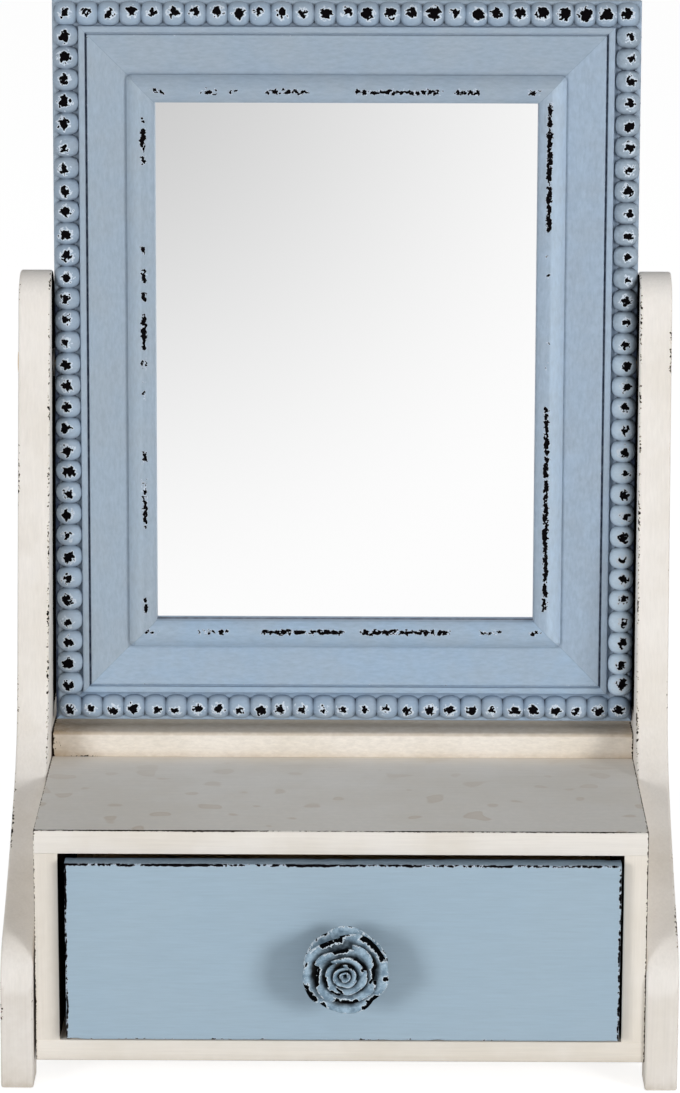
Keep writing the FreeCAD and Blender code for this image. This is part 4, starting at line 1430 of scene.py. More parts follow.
@dataclass
class RoseKnob:
    """A cast resin rose on a turned foot, with a spiral bud.

    Its own coordinates are x and z about the knob's axis and forward from the drawer's face.

    Attributes:
        middle: x of the axis.
        rise: z of the axis.
        face: y of the drawer front's face.
        draw_in: how far a rim's corners draw in, as a share of its distance out.
        pinch: how much the outer rings are pinched in, as a share.
        pinch_at: the angle where they are, in radians.
        tall: how far forward a ring reaches at least, to be pinched.
        across_steps: vertices across a petal.
        along_steps: vertices from a petal's root to its rim.
        rings: the petals, from the outermost ring inwards.
        core: the turned core's profile as (out, forward).
        core_steps: vertices round the core.
    """

    stand: Stand
    middle: float = 2.7
    rise: float = 78.8
    face: float = -8.0
    draw_in: float = 0.09
    pinch: float = 0.13
    pinch_at: float = 1.95
    tall: float = 20.0
    across_steps: int = 27
    along_steps: int = 13
    rings: tuple[PetalRing, ...] = (
        PetalRing(5, 80.0, 40.0, (9.0, 7.5), (22.6, 14.0), 0.6, 1.5, 0.5, 1.8, 0.0),
        PetalRing(
            5, 52.0, 47.0, (9.0, 11.0), (23.4, 25.4), 1.2, 3.6, 1.0, 1.9, 18.8,
            ((185, 30), (274, 24), (20, 12)),
            ((112, 22), (43, 28), (309, 17), (210, 17), (237, 4), (352, 5)),
        ),
        PetalRing(
            4, 20.0, 56.0, (6.5, 15.0), (16.9, 29.0), 1.0, 3.6, 1.9, 1.7, 13.4,
            ((358, 46), (200, 20)), ((273, 24), (358, 19), (183, 20), (100, 18)),
        ),
        PetalRing(
            3, 62.0, 74.0, (4.5, 18.0), (11.2, 30.6), 0.5, 2.6, 1.4, 1.6, 8.5,
            ((95, 52), (250, 15)), ((198, 20), (247, 22), (20, 10)),
        ),
        PetalRing(
            3, 20.0, 80.0, (2.4, 20.0), (6.3, 31.2), 0.1, 1.6, 1.0, 1.3, 4.5, ((230, 60),), ((60, 20),)
        ),
        PetalRing(2, 95.0, 120.0, (0.9, 22.0), (2.6, 31.2), -0.1, 0.8, 0.6, 0.9, 1.6, ((270, 90),)),
    )
    core: tuple[tuple[float, float], ...] = (
        (0.3, 0.0), (12.8, 0.0), (12.8, 2.0), (9.5, 3.6), (6.8, 5.2), (6.6, 7.6), (9.6, 8.6),
        (12.5, 10.5), (12.2, 14.5), (9.8, 19.0), (6.6, 21.5), (3.6, 23.5), (1.0, 26.0), (0.2, 26.5),
    )
    core_steps: int = 48

    def _set_out(self, out: Array, angle: Array, forward: Array) -> Array:
        """Turns distances out from the axis, angles round it in radians and distances forward of the
        drawer's face into points (..., 3)."""
        places = [
            self.middle + out * np.cos(angle), self.face - forward, self.rise + out * np.sin(angle)
        ]
        return np.stack(places, axis=-1)

    def _petal(self, ring: PetalRing, number: int) -> Surface:
        """One petal: a sheet from its root to its rim, bent round the axis, with thickness.

        With p from -1 to 1 across and q from 0 to 1 from root to rim, the middle sheet goes out by
        q^1.4 and forward by sin(90 q), its rim turns back by the curl times ((q - 0.7) / 0.3)^2, and
        its corners draw in with |p|^3 and droop with |p|^3. The thickness follows a half circle at
        the rim and both sides.

        Args:
            ring: the petal's ring.
            number: which of the ring's petals it is.

        Returns:
            The closed surface with its marks.
        """
        p = np.linspace(-1, 1, self.across_steps)[:, None]
        half_q = 1 - (1 - np.linspace(0, 1, self.along_steps)) ** 1.6
        q = np.concatenate([half_q, half_q[-2::-1]])[None, :]
        one_side = np.ones(self.along_steps - 1)
        side = np.concatenate([one_side, [0.0], -one_side])[None, :]
        middle = math.radians(ring.first + number * 360 / ring.count)
        wave = wander(np.stack([p * 3 + number * 7, p * 0 + ring.rim[0], p * 0 + number], -1), 3.0, 3)
        span = math.radians(ring.half) * (0.72 + 0.28 * np.sin(q * math.pi / 2))
        angle = middle + p * span
        turned_back = ring.curl * np.clip((q - 0.7) / 0.3, 0, 1) ** 2
        corner = np.abs(p) ** 3
        reach_out = ring.rim[0] - ring.root[0] - self.draw_in * ring.rim[0] * corner + 0.5 * wave
        out = ring.root[0] + reach_out * q**1.4 + ring.wrap * p * q
        pinched = np.exp(-(((angle - self.pinch_at) / 0.6) ** 2)) * (ring.rim[1] > self.tall)
        out = out * (1 - self.pinch * pinched)
        rise = ring.rim[1] - ring.root[1] - ring.droop * corner + 0.5 * wave
        forward = ring.root[1] + rise * np.sin(q * math.pi / 2) - turned_back
        way_out, way_forward = np.gradient(out, axis=1), np.gradient(forward, axis=1)
        way_out, way_forward = way_out * side, way_forward * side
        way_out[:, self.along_steps - 1] = 1.0
        length = np.hypot(way_out, way_forward) + 1e-9
        rounding = np.sqrt(np.clip(1 - np.clip((q - 0.88) / 0.12, 0, 1) ** 2, 0, 1))
        slim = np.sqrt(np.clip(1 - np.abs(p) ** 8, 0.02, 1))
        half_thick = ring.thick / 2 * rounding * slim * side
        shell = self._set_out(
            out - half_thick * way_forward / length, angle, forward + half_thick * way_out / length
        )
        surface = tube(shell)
        swing = 0.22 * wander(shell, 8.0, 40 + number)
        broad = np.clip((q - 0.76) / 0.14, 0, 1) * (1.36 + swing) * in_sectors(angle, ring.rubbed)
        # Painted highlight: a pale line along every petal's rim, worn bare in places.
        rim_highlight_and_wear = np.clip((q - 0.88) / 0.08, 0, 1) * (0.78 + swing)
        front = np.clip((ring.black_to - out) / 2.0 + 0.5, 0, 1) * (side > 0)
        front = front * (0.65 + 0.35 * in_sectors(angle, ring.black))
        behind = (side < 0) * np.clip((0.98 - q) / 0.3, 0, 1)
        surface.marks["wear"] = (np.maximum(broad, rim_highlight_and_wear) * (side >= 0)).ravel()
        surface.marks["dirt"] = 1.3 * np.clip(front + behind, 0, 1).ravel()
        return surface

    def _core(self) -> Surface:
        """The foot, stem and heart, turned, worn at the foot and black between the petals."""
        out, forward = np.array(self.core).T
        turn = np.linspace(0, 2 * math.pi, self.core_steps, endpoint=False)[None, :]
        rings = self._set_out(out[:, None] + 0 * turn, turn, forward[:, None] + 0 * turn)
        surface = tube(rings)
        surface.marks["wear"] = np.repeat(np.where(forward < 3, 0.5, 0.0), self.core_steps)
        surface.marks["dirt"] = np.repeat(np.where(forward > 9, 0.95, 0.0), self.core_steps)
        return surface

    def build(self) -> None:
        """Makes the rose as one casting."""
        petals = [self._petal(ring, number) for ring in self.rings for number in range(ring.count)]
        rose = joined([self._core(), *petals])
        paint = ROSE_BLUE.make()
        self.stand.put("cast_rose_knob", rose, paint, "blue_paint", "rose_knob", 55.0)


# -------------------- mirror


@dataclass(frozen=True)
class Stretch:
    """A worn length of the moulding's crest: its middle along the member, half its length, and how
    deep the wear is, 1 being usual."""

    middle: float
    half: float
    level: float = 1.0


@dataclass(frozen=True)
class Member:
    """One side of the mirror frame.

    Attributes:
        node: its CAD node.
        rail: whether it lies across, as the top and bottom do.
        sign: 1 for the top and the right.
        lip_shade: how much painted shade lies on the edge beside the glass.
        groove: how much painted shade lies in its groove.
        shade_film: how much painted shade darkens it outside the inner moulding.
        coat: the colour of its paint, darker on the top and paler on the right, as painted light.
        worn: the worn lengths of its crest.
    """

    node: str
    rail: bool
    sign: int
    lip_shade: float
    groove: float
    shade_film: float
    coat: str
    worn: tuple[Stretch, ...]


# Painted light: the coats differ by side, the top darkest, and each shade_film darkens all but the inner
# moulding, which keeps the right stile's pale coat as a painted highlight.
MEMBERS = (
    Member(
        "frame_top_rail", True, 1, 0.3, 0.25, 0.0, "#99AABB",
        (
            Stretch(-106, 4), Stretch(-77, 4), Stretch(-64, 2, 0.9), Stretch(-34, 12, 0.93),
            Stretch(21, 16), Stretch(46, 7), Stretch(68, 7), Stretch(105, 3),
        ),
    ),
    Member(
        "frame_bottom_rail", True, -1, 1.0, 0.3, 0.0, "#9DB4CB",
        (
            Stretch(-111, 3), Stretch(-76, 9, 0.95), Stretch(-36, 13, 1.02), Stretch(-10, 10),
            Stretch(34, 26, 1.02), Stretch(83, 6, 0.95), Stretch(109, 3),
        ),
    ),
    Member(
        "frame_left_stile", False, -1, 0.2, 0.95, 0.1, "#A4B5C5",
        (
            Stretch(139, 0.5), Stretch(129, 5, 1.15), Stretch(116, 2.5, 1.05), Stretch(99, 0.5),
            Stretch(66, 2), Stretch(50, 3.5, 1.05), Stretch(38, 2.5, 1.05), Stretch(18, 9.5, 1.1),
            Stretch(0, 3, 1.05), Stretch(-11, 0.6), Stretch(-18, 1), Stretch(-53, 4),
            Stretch(-79, 14, 0.97), Stretch(-139, 4),
        ),
    ),
    Member(
        "frame_right_stile", False, 1, 1.0, 0.75, 0.22, "#AFC3D7",
        (
            Stretch(113.5, 36.5, 1.06), Stretch(72, 0.5), Stretch(62, 0.5), Stretch(51, 0.6),
            Stretch(12, 1), Stretch(0, 0.7), Stretch(-28, 5, 0.9), Stretch(-41, 7.5, 1.04),
            Stretch(-87.5, 36, 1.06), Stretch(-131, 4, 1.1), Stretch(-139, 2.5, 1.1),
        ),
    ),
)


@dataclass
class Moulding:
    """The mitred frame: a flat ledge for the beads, a raised strip, a groove, a sloping band and an
    inner moulding that rises to a crest and falls to the glass.

    Sizes run from the outer edge inwards and from the back forwards, as (inwards, forwards).

    Attributes:
        pivot_in: how far in front of the back the pivots are.
        ledge: width of the ledge and its distance from the back.
        strip: inner edge and front of the raised strip.
        groove: inner edge and depth of the groove beside it.
        band: the outer edge, the bend and the inner edge of the sloping band.
        inner: where the inner moulding starts to rise.
        crest: its highest line.
        sight: where it falls to the glass.
        rabbet: outer edge and depth of the rabbet behind it.
        corner_round: how far its outer corners are rounded.
        along_step: spacing of the vertices along a member.
        drop: how much wider the bottom ledge is.
        spill: how much wider the left ledge is at its foot.
        spill_from: the height at which it starts to widen.
    """

    stand: Stand
    half_wide: float = 165.3
    half_tall: float = 205.3
    pivot_in: float = 8.0
    ledge: tuple[float, float] = (14.8, 12.0)
    strip: tuple[float, float] = (18.4, 15.5)
    groove: tuple[float, float] = (19.4, 13.5)
    band: tuple[tuple[float, float], ...] = ((19.4, 15.2), (30.0, 13.5), (41.8, 12.2))
    inner: tuple[float, float] = (41.8, 14.0)
    crest: tuple[float, float] = (51.6, 18.5)
    sight: tuple[float, float] = (57.3, 15.5)
    rabbet: tuple[float, float] = (48.8, 8.5)
    corner_round: float = 3.2
    along_step: float = 5.0
    drop: float = 1.7
    spill: float = 1.1
    spill_from: float = 20.0

    def section(self) -> Array:
        """The section as (inwards, forwards) points, its small corners softened and its crest the top
        of two arcs that meet level.

        Returns:
            An array (count, 2).
        """
        rising = self._crest_arc(self.inner, 10)
        falling = self._crest_arc(self.sight, 7)[::-1]
        corners = [(0, 0, 0.3), (0, self.ledge[1], 1.0), (*self.ledge, 0.2)]
        corners += [(self.ledge[0], self.strip[1], 0.9), (*self.strip, 0.6)]
        corners += [(self.strip[0], self.groove[1], 0.15), (*self.groove, 0.15)]
        corners += [(*place, round) for place, round in zip(self.band, (0.9, 0, 0.3))]
        corners += [(*self.inner, 0.5)]
        corners += [(*place, 0) for place in rising[1:]]
        corners += [(*place, 0) for place in falling[1:-1]]
        corners += [(*self.sight, 0.35), (self.sight[0], self.rabbet[1], 0), (*self.rabbet, 0)]
        corners += [(self.rabbet[0], 0, 0.3)]
        return thickened(softened(corners, 4), 1.3)

    def _crest_arc(self, foot: tuple[float, float], count: int) -> Array:
        """Points from a foot up to the crest on the circle that is level there, whose radius is
        (wide^2 + high^2) / (2 high).

        Args:
            foot: where the arc starts, as (inwards, forwards).
            count: how many points.

        Returns:
            An array (count, 2).
        """
        wide, high = self.crest[0] - foot[0], self.crest[1] - foot[1]
        radius = (wide**2 + high**2) / (2 * high)
        swept = math.asin(wide / radius) * np.linspace(1, 0, count)
        inwards = self.crest[0] - radius * np.sin(swept)
        return np.stack([inwards, self.crest[1] - radius * (1 - np.cos(swept))], axis=1)

    def _corner_rounds(self, section: Array) -> Array:
        """The radius at which each line of the moulding turns the frame's corners: small everywhere
        but round the inner moulding, where it shrinks inwards from its full size.

        Args:
            section: the section's points.

        Returns:
            A radius for each of them.
        """
        inwards, forwards = section.T
        on_inner = (inwards > self.inner[0] - 0.1) & (forwards > 12.3)
        return np.where(on_inner, np.clip(self.corner_round + self.inner[0] - inwards, 0.3, 9), 0.3)

    def _marks(self, member: Member, section: Array, along: Array) -> tuple[Array, Array]:
        """Wear and painted shade over the (along, section) grid.

        The crest's wear is a bell across it, times the deepest of its worn stretches. Painted shade lies
        in the groove, at the foot of the strip and of the inner moulding, beside the glass, outside the
        inner moulding and beside the uprights.

        Args:
            member: which side of the frame.
            section: the section's points.
            along: how far along the member each vertex is.

        Returns:
            The two marks over the grid.
        """
        inwards, forwards = section.T
        crest = np.clip(1.5 * np.exp(-(((inwards - 51.0) / 2.05) ** 2)), 0, 1) * (forwards > 15.6)
        level = np.zeros_like(along)
        for stretch in member.worn:
            past = np.abs(along - stretch.middle) - stretch.half
            level = np.maximum(level, stretch.level * np.clip(1 - past / 3.0, 0, 1))
        edges = np.exp(-(((inwards - 14.9) / 0.5) ** 2)) + np.exp(-(((inwards - 19.8) / 0.6) ** 2))
        wear = crest * level + 0.55 * edges * (forwards > 14.0)
        # Painted shade: in the groove, at the feet of the strip and the inner moulding, on the edge beside
        # the glass, as a shade_film outside the inner moulding and on the ledge beside the uprights.
        in_groove = (inwards > 18.2) & (inwards < 19.6) & (forwards < 14.9)
        strip_foot = np.exp(-((inwards - 14.2) ** 2) / 2.0) * (forwards < 12.6)
        inner_foot = np.exp(-(((inwards - 41.6) / 0.7) ** 2)) * (forwards < 13.4)
        lip_shade = (inwards > 56.7) & (forwards < 15.9)
        lines = member.groove * in_groove + 0.5 * strip_foot + 0.25 * inner_foot
        lines = lines + member.lip_shade * lip_shade * np.clip((12.5 - forwards) / 2.5, 0.25, 1)
        shade_film = member.shade_film * ((inwards < self.inner[0] - 0.3) | (inwards > self.crest[0] - 2))
        in_gap = inwards < np.interp(along, [-185, -110], [1.0, 3.2])
        shade_by_upright = 0.95 * in_gap * (along < 36.0) * (not member.rail)
        dirt = lines * (forwards > 8.0) + shade_film + shade_by_upright * (forwards > 4.0)
        return wear, np.broadcast_to(dirt, wear.shape)

    def _member(self, member: Member) -> Surface:
        """A member: each section point carried along a line at its own depth, round a short arc at
        both ends and up to the mitre, where the arc has turned by 45 degrees.

        Args:
            member: which side of the frame.

        Returns:
            The closed surface with its marks.
        """
        section = self.section()
        rounds = self._corner_rounds(section)[None, :]
        halves = (self.half_wide, self.half_tall) if member.rail else (self.half_tall, self.half_wide)
        long = halves[0] - section[:, 0][None, :] - rounds
        off = halves[1] - section[:, 0][None, :]
        count = round(2 * halves[0] / self.along_step)
        shares = np.linspace(-1, 1, count)[:, None]
        straight = shares * long
        near = np.sign(straight) * (long - 0.6)
        straight[[1, -2]] = near[[1, -2]]
        turns = np.radians(np.linspace(45, 90, 6, endpoint=False))[:, None]
        along_end = long + rounds * np.cos(turns)
        off_end = off - rounds + rounds * np.sin(turns)
        along = np.concatenate([-along_end, straight, along_end[::-1]])
        offset = np.concatenate([off_end, off + 0 * straight, off_end[::-1]])
        deep = self.pivot_in - section[:, 1][None, :] + 0 * along
        offset = member.sign * offset
        x, z = (along, offset) if member.rail else (offset, along)
        ledge = self.ledge[0]
        below = np.clip((self.spill_from - z) / (self.spill_from + self.half_tall), 0, 1)
        beyond = np.clip((ledge - self.half_wide - x) / ledge, 0, 1)
        past_ledge = np.clip(ledge - self.half_tall - z, 0, None)
        x = x - self.spill * below * beyond
        z = z - self.drop * past_ledge / ledge
        surface = tube(np.stack([x, deep, z], axis=-1))
        wear, dirt = self._marks(member, section, along)
        mitre = np.zeros(len(along))
        mitre[:6] = mitre[-6:] = 0.15
        surface.marks["wear"] = wear.ravel()
        surface.marks["dirt"] = np.clip(dirt + mitre[:, None], 0, 1).ravel()
        return surface

    def build(self) -> None:
        """Makes the four members."""
        for member in MEMBERS:
            name = f"{FRAME_BLUE.name}_on_{member.node}"
            brush = Axis.ACROSS if member.rail else Axis.UP
            paint = replace(FRAME_BLUE, name=name, coat=member.coat, brush=brush).make()
            self.stand.put(
                f"moulded_{member.node}", self._member(member), paint, "blue_paint", member.node, 35.0
            )


@dataclass(frozen=True)
class Strip:
    """One run of beads.

    Attributes:
        name: the side of the frame.
        rail: whether it lies across and has the corner beads.
        sign: 1 for the top and the right.
        coat: the colour of its paint, paler on the side runs as painted light on the beads that the
            uprights shade.
        cloud: the colour of its thinner areas, paler with the coat on the side runs.
        shade_film: how much painted shade darkens the beads above the uprights, back to the paint's tone.
        bigger: how much more of the chips' spread its chips have, on the left and on the right.
        square: the powers that make its beads squarer than round, across and forward.
        wide: how much wider than round its beads are turned, as a factor.
        out: how far out from the run's line they sit, in millimetres.
    """

    name: str
    rail: bool
    sign: int
    coat: str
    cloud: str
    shade_film: float
    bigger: tuple[float, float]
    square: tuple[float, float]
    wide: float = 1.0
    out: float = 0.0


# Painted light: the side runs are paler to lift the beads in the uprights' shade, and their shade_film
# darkens the beads above the uprights again.
STRIPS = (
    Strip("top", True, 1, "#A0B4C8", "#A5B4C3", 0.0, (0.2, 0.75), (2.5, 2.2)),
    Strip("bottom", True, -1, "#9CB1C7", "#A5B4C3", 0.0, (0.0, 0.15), (2.5, 2.2)),
    Strip("left", False, -1, "#AABED2", "#AFBDCB", 0.22, (0.3, 0.3), (2.1, 2.05), 1.085, 0.5),
    Strip("right", False, 1, "#CDE1F3", "#C9DCEC", 0.5, (0.0, 0.0), (2.1, 2.05), 1.04, 0.3),
)


# A distance from a chip, in millimetres, at which there is none.
FAR_OFF = 99.0


@dataclass
class Beads:
    """The half-round beads on the ledge, run into each other.

    Attributes:
        line_across: how far from the middle the stiles' beads are.
        line_down: how far from it the rails' beads are.
        side_shift: how far right the stiles' beads sit.
        across: beads on a rail, with the corner ones.
        down: beads on a stile, with the corner ones.
        ledge: y of the ledge.
        sunk: how far the beads are sunk in it.
        drop: how much lower the bottom run is.
        chip_out: how far outwards of a bead's crown its chip usually is.
        around: vertices round a bead, foot to foot.
        steps: places of the rings along a bead, as shares of half the spacing.
        end_steps: places of the rings on a whole end, as shares of the radius.
    """

    stand: Stand
    line_across: float = 157.5
    line_down: float = 197.5
    side_shift: float = 0.3
    across: int = 27
    down: int = 33
    ledge: float = -4.0
    sunk: float = 0.3
    radius: float = 7.0
    drop: float = 1.5
    chip_out: float = 0.9
    around: int = 14
    steps: tuple[float, ...] = (-1.0, -0.88, -0.68, -0.38, 0.0, 0.38, 0.68, 0.88, 1.0)
    end_steps: tuple[float, ...] = (0.997, 0.97, 0.9, 0.75, 0.5, 0.25)

    def _rings(self, count: int, pitch: float, with_ends: bool) -> tuple[Array, Array]:
        """Where the run's rings lie along it and which bead the faces after each one belong to.

        Args:
            count: how many beads.
            pitch: their spacing.
            with_ends: whether the first and last are whole.

        Returns:
            The rings' places, measured from the run's middle, and the bead numbers between them.
        """
        centres = (np.arange(count) - (count - 1) / 2) * pitch
        steps = np.array(self.steps) * pitch / 2
        places = [centres[0] + steps[:1]]
        owners = []
        for number, centre in enumerate(centres):
            places.append(centre + steps[1:])
            owners += [number] * (len(steps) - 1)
        line = np.concatenate(places)
        if with_ends:
            ends = np.array(self.end_steps) * self.radius
            first = len(steps) // 2
            line = np.concatenate([centres[0] - ends, line[first:-first], centres[-1] + ends[::-1]])
            owners = [0] * len(ends) + owners[first : len(owners) - first] + [count - 1] * len(ends)
        return line, np.array(owners)

    def _run(self, strip: Strip, seed: int) -> Surface:
        """A run along its own line: at a distance d from a bead's centre the ring's half width and its
        height are R (1 - (d / R)^n)^(1 / n), n being 2 or a little over, and the ring is half an
        ellipse with a flat foot sunk in the ledge.

        Args:
            strip: which run.
            seed: the number that fixes its chips.

        Returns:
            The surface with its points as (along, forward, across).
        """
        count = self.across if strip.rail else self.down - 2
        pitch = 2 * self.line_across / (self.across - 1)
        if not strip.rail:
            pitch = 2 * self.line_down / (self.down - 1)
        line, owners = self._rings(count, pitch, strip.rail)
        centres = (np.arange(count) - (count - 1) / 2) * pitch
        nearest = np.clip(np.round(line / pitch + (count - 1) / 2), 0, count - 1).astype(int)
        off = line - centres[nearest]
        share = np.abs(off) / self.radius
        radius, height = (
            self.radius * (1 - share[:, None] ** power) ** (1 / power) for power in strip.square
        )
        turn = np.linspace(0, math.pi, self.around)[None, :]
        foot_line = -self.sunk + 0 * radius
        forward = np.concatenate([foot_line, height * np.sin(turn), foot_line], axis=1)
        across = strip.wide * np.concatenate([radius, radius * np.cos(turn), -radius], axis=1)
        along = line[:, None] + 0 * across
        surface = tube(np.stack([along, self.ledge - forward, across], axis=-1))
        # Painted shade: darker where the beads meet, at their feet on the ledge and, by the shade_film,
        # above the uprights.
        neck = np.clip((np.abs(off) / (pitch / 2) - 0.8) / 0.2, 0, 1)[:, None]
        neck = neck * (0.35 + 0.65 * np.abs(across / radius) ** 1.5)
        foot = 0.35 * np.clip(1 - forward / 1.2, 0, 1) + 0.10 * np.clip(1 - forward / 4.5, 0, 1)
        shade_film = strip.shade_film * np.interp(along, [-140, 0, 40], [0.0, 0.42, 1.0])
        surface.marks["wear"] = np.zeros(along.size)
        surface.marks["dirt"] = np.clip(0.8 * neck + foot + shade_film, 0, 1).ravel()
        surface.corner_marks["chip"] = self._chips(surface, line, owners, centres, strip, seed)
        return surface

    def _chips(
        self, surface: Surface, line: Array, owners: Array, centres: Array, strip: Strip, seed: int,
    ) -> Array:
        """Measures the face corners from the chip of the bead that each face belongs to.

        Args:
            surface: the run.
            line: the rings' places.
            owners: the bead numbers between the rings.
            centres: the beads' places.
            strip: which run.
            seed: the number that fixes the chips.

        Returns:
            An array (corners, 3) of (across, along, size).
        """
        draws = np.random.default_rng(seed)
        shift = draws.normal((strip.sign * self.chip_out, 0), 0.5, (len(centres), 2))
        sizes = draws.uniform(0, 1, len(centres)) + np.where(centres > 0, *strip.bigger[::-1])
        turn = np.linspace(0, math.pi, self.around)
        girth = np.concatenate([[FAR_OFF], (math.pi / 2 - turn) * self.radius, [-FAR_OFF]])
        quads = surface.faces[0]
        row, column = np.divmod(quads, len(girth))
        owner = owners[np.minimum(quads[:, 0] // len(girth), len(owners) - 1)][:, None]
        marks = [girth[column] - shift[owner, 0], line[row] - centres[owner] - shift[owner, 1]]
        marks.append(sizes[owner] + 0 * row)
        chips = np.stack(marks, axis=-1).reshape(-1, 3)
        caps = sum(group.size for group in surface.faces[1:])
        return np.concatenate([chips, np.full((caps, 3), FAR_OFF)])

    def build(self) -> None:
        """Makes the four runs, the corner beads on the upper and lower one."""
        for number, strip in enumerate(STRIPS):
            surface = self._run(strip, 60 + number)
            along, forward, across = surface.points.T
            if strip.rail:
                line = self.line_down if strip.sign > 0 else -self.line_down - self.drop
                places = [along, forward, line + across]
            else:
                line = strip.sign * (self.line_across + strip.out) + self.side_shift
                places = [line + across, forward, along]
            surface.points = np.stack(places, axis=1)
            node = f"{strip.name}_bead_strip"
            name = f"{BEAD_BLUE.name}_{strip.name}"
            paint = replace(BEAD_BLUE, name=name, coat=strip.coat, cloud=strip.cloud).make()
            self.stand.put(f"turned_{node}", surface, paint, "blue_paint", node, 50.0)


@dataclass
class Washers:
    """The two nylon washers between the mirror and the side panels, the left one squeezed thin."""

    stand: Stand
    mirror_half: float = 165.3
    thick: tuple[float, float] = (1.3, 0.45)
    bore: float = 3.1
    rim: float = 8.0
    around: int = 40

    def build(self) -> None:
        """Makes both, each a small closed section carried round the pivot."""
        turn = np.linspace(0, 2 * math.pi, self.around, endpoint=False)[:, None]
        parts = []
        for sign, thick in zip((-1, 1), self.thick):
            corners = [
                (self.bore, 0.0, 0.1), (self.rim, 0.0, 0.15), (self.rim, thick, 0.15),
                (self.bore, thick, 0.1),
            ]
            out, beside = softened(corners, 2).T
            rings = [sign * (self.mirror_half + beside) + 0 * turn, out * np.cos(turn), out * np.sin(turn)]
            points = np.stack(rings, axis=-1)
            around_twice = grid_faces(self.around + 1, len(out), True)
            parts.append(Surface(points.reshape(-1, 3), [around_twice % (self.around * len(out))]))
        name = "moulded_pivot_washers"
        self.stand.put(name, joined(parts), NYLON.make(), "nylon", "pivot_washers")


# -------------------- bought parts and inner wood


def dress_the_rest() -> None:
    """Gives the CAD nodes whose shape is right their finishes."""
    dress(("drawer_left_side", "drawer_right_side"), PINE.make())
    dress(("drawer_back",), PINE_ACROSS.make())
    dress(("rail_dowels", "cabinet_splines"), BEECH.make())
    dress(("cabinet_back",), PLYWOOD.make())
    dress(("drawer_bottom", "backing_board"), HARDBOARD.make())
    dress(("mirror_glass",), SilveredGlass().make())
    dress(("knob_screw", "mitre_fasteners", "glazing_points"), ZINC.make())
    dress(("left_pivot_bolt", "right_pivot_bolt", "pivot_inserts"), BRASS.make())
    dress(("foot_glides",), FELT.make())


# -------------------- studio


@dataclass(frozen=True)
class Lamp:
    """A soft box: its place and side length in metres and its power in watts."""

    name: str
    place: tuple[float, float, float]
    side: float
    power: float


WHITE = (1.0, 1.0, 1.0, 1.0)


def through_or_off(tree: Tree, rays: bpy.types.bpy_prop_collection) -> Node:
    """Reads a Light Path node's outputs and gives 1 for a reflected or refracted ray, 0 for others."""
    kinds = {0: rays["Is Glossy Ray"], 1: rays["Is Transmission Ray"]}
    return add(tree, "Math", {"operation": "MAXIMUM"}, links=kinds)


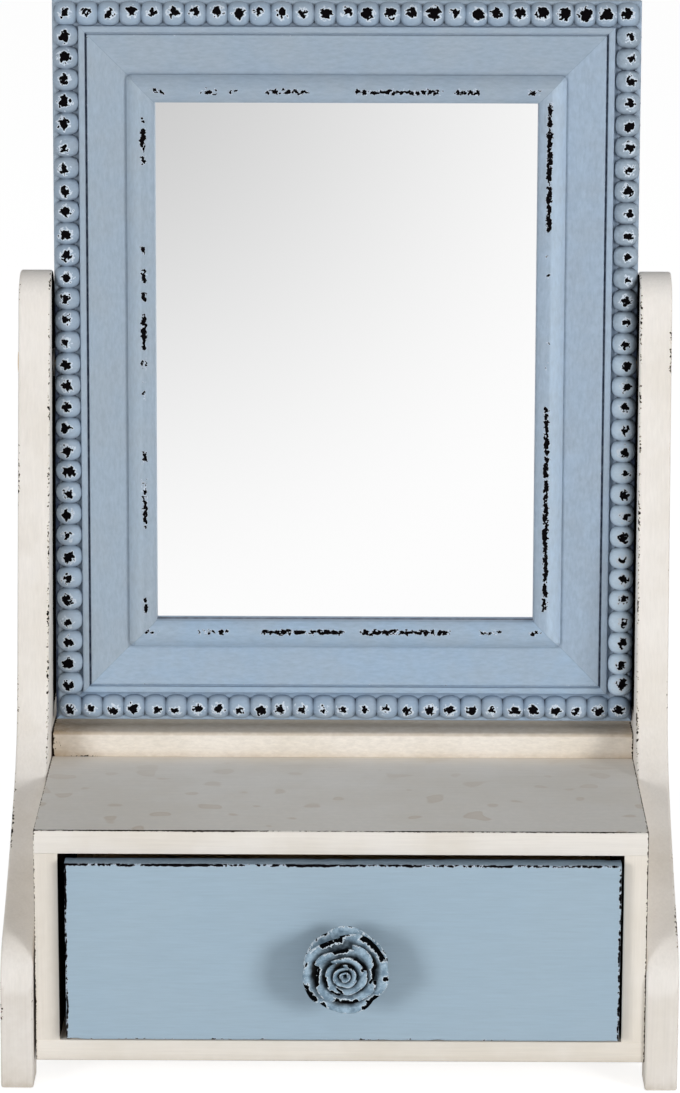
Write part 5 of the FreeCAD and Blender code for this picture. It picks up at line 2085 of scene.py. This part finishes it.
@dataclass
class Studio:
    """A pale floor, soft boxes and a camera, all in metres.

    Attributes:
        image_wide: width of the image in pixels.
        focal_px: the focal length in pixels.
        yaw: how many degrees the camera turns to the right.
        pitch: how many it looks down.
        roll: how many it is rolled.
        floor_glow: how much light of its own the camera sees on the floor, which makes it white.
        aim: what the soft boxes face.
        sky: brightness of the world as a light.
        flag_way: the direction of a soft grey flag that reflections see.
        flag_reach: how far it fades out, as a distance between directions.
        flag_tone: its brightness in the middle.
    """

    image_wide: int = 680
    focal_px: float = 4203.8
    camera_at: tuple[float, float, float] = (0.0125, -2.2546, 0.8345)
    yaw: float = -0.35
    pitch: float = 13.61
    roll: float = 0.13
    floor_half: float = 9.0
    floor_colour: str = "#E6E6E6"
    floor_glow: float = 0.74
    aim: tuple[float, float, float] = (0.0, 0.0, 0.28)
    lamps: tuple[Lamp, ...] = (
        Lamp("softbox_left", (-1.9, -2.3, 0.62), 0.9, 31.5),
        Lamp("softbox_right", (2.1, -2.2, 0.66), 0.9, 42.5),
    )
    sky: float = 0.30
    flag_way: tuple[float, float, float] = (-0.085, -0.995, 0.035)
    flag_reach: float = 0.178
    flag_tone: float = 0.52

    def build(self) -> None:
        """Sets up the whole studio."""
        self._floor()
        self._world()
        self._lamps()
        self._camera()

    def _floor(self) -> None:
        """A flat floor, white to the camera but for the object's soft shadow. Reflections pass it and
        see the white world."""
        half = self.floor_half
        mesh = bpy.data.meshes.new("studio_floor")
        corners = [(-half, -half, 0), (half, -half, 0), (half, half, 0), (-half, half, 0)]
        mesh.from_pydata(corners, [], [(0, 1, 2, 3)])
        floor = bpy.data.objects.new("studio_floor", mesh)
        bpy.context.scene.collection.objects.link(floor)
        material, tree = blank("studio_floor_paint")
        rays = add(tree, "LightPath").outputs
        seen = {0: rays["Is Camera Ray"]}
        glow_share = add(tree, "Math", TIMES, {1: self.floor_glow}, seen)
        glow = add(tree, "Emission", values={"Color": WHITE}, links={"Strength": glow_share})
        plain = add(tree, "BsdfDiffuse", values={"Color": to_linear(self.floor_colour)})
        both = add(tree, "AddShader", links={0: plain, 1: glow})
        mirrored = through_or_off(tree, rays)
        clear = add(tree, "BsdfTransparent")
        shader = add(tree, "MixShader", links={0: mirrored, 1: both, 2: clear})
        add(tree, "OutputMaterial", links={"Surface": shader})
        mesh.materials.append(material)

    def _world(self) -> None:
        """An even pale world. Reflections see it white, but for a soft grey flag up to the left."""
        world = bpy.data.worlds.new("studio_world")
        world.use_nodes = True
        tree = world.node_tree
        tree.nodes.clear()
        rays = add(tree, "LightPath").outputs
        way = add(tree, "TexCoord").outputs["Generated"]
        off = add(tree, "VectorMath", {"operation": "DISTANCE"}, {1: self.flag_way}, {0: way})
        tone = add(
            tree, "MapRange", EASED,
            {1: 0.0, 2: self.flag_reach, 3: self.flag_tone, 4: 1.0}, {0: off.outputs["Value"]},
        )
        mirrored = through_or_off(tree, rays)
        light = add(tree, "Background", values={"Color": WHITE, "Strength": self.sky})
        seen = add(tree, "Background", values={"Color": WHITE, "Strength": 1.0})
        reflected = add(tree, "Background", values={"Color": WHITE}, links={"Strength": tone})
        unseen = add(tree, "MixShader", links={0: mirrored, 1: light, 2: reflected})
        shader = add(tree, "MixShader", links={0: rays["Is Camera Ray"], 1: unseen, 2: seen})
        add(tree, "OutputWorld", links={"Surface": shader})
        bpy.context.scene.world = world

    def _lamps(self) -> None:
        """The soft boxes, each turned to the aim."""
        for lamp in self.lamps:
            light = bpy.data.lights.new(lamp.name, "AREA")
            light.shape = "SQUARE"
            light.size = lamp.side
            light.energy = lamp.power
            box = bpy.data.objects.new(lamp.name, light)
            box.location = lamp.place
            way = Vector(self.aim) - Vector(lamp.place)
            box.rotation_euler = way.to_track_quat("-Z", "Y").to_euler()
            bpy.context.scene.collection.objects.link(box)

    def _camera(self) -> None:
        """The camera: turned by yaw, pitched down and rolled, its frame given by the focal length in
        pixels over the width."""
        yaw, pitch, roll = (math.radians(angle) for angle in (self.yaw, self.pitch, self.roll))
        ahead = Vector(
            (math.sin(yaw) * math.cos(pitch), math.cos(yaw) * math.cos(pitch), -math.sin(pitch))
        )
        level = Vector((math.cos(yaw), -math.sin(yaw), 0.0))
        over = level.cross(ahead)
        right = level * math.cos(roll) + over * math.sin(roll)
        up = over * math.cos(roll) - level * math.sin(roll)
        data = bpy.data.cameras.new("studio_camera")
        data.sensor_fit = "HORIZONTAL"
        data.lens = data.sensor_width * self.focal_px / self.image_wide
        data.clip_end = 60.0
        camera = bpy.data.objects.new("studio_camera", data)
        turn = Matrix((right, up, -ahead)).transposed().to_4x4()
        camera.matrix_world = Matrix.Translation(Vector(self.camera_at)) @ turn
        bpy.context.scene.collection.objects.link(camera)
        bpy.context.scene.camera = camera


def main() -> None:
    """Builds the sub-assemblies in order, then the studio."""
    logging.basicConfig(level=logging.INFO, format="%(name)s: %(message)s")
    bpy.context.scene.view_settings.view_transform = "Standard"
    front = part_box("cabinet_bottom")[0][1] / MM
    base = Stand("base", (0.0, front, 0.0))
    drawer = Stand("drawer", (0.0, front, 0.0))
    mirror = Stand("mirror", hinge_place("mirror_tilt"), 3.7)
    SidePanels(base).build()
    Cabinet(base).build()
    Drawer(drawer).build()
    RoseKnob(drawer).build()
    Moulding(mirror).build()
    Beads(mirror).build()
    Washers(mirror).build()
    dress_the_rest()
    Studio().build()


if __name__ == "__main__":
    main()
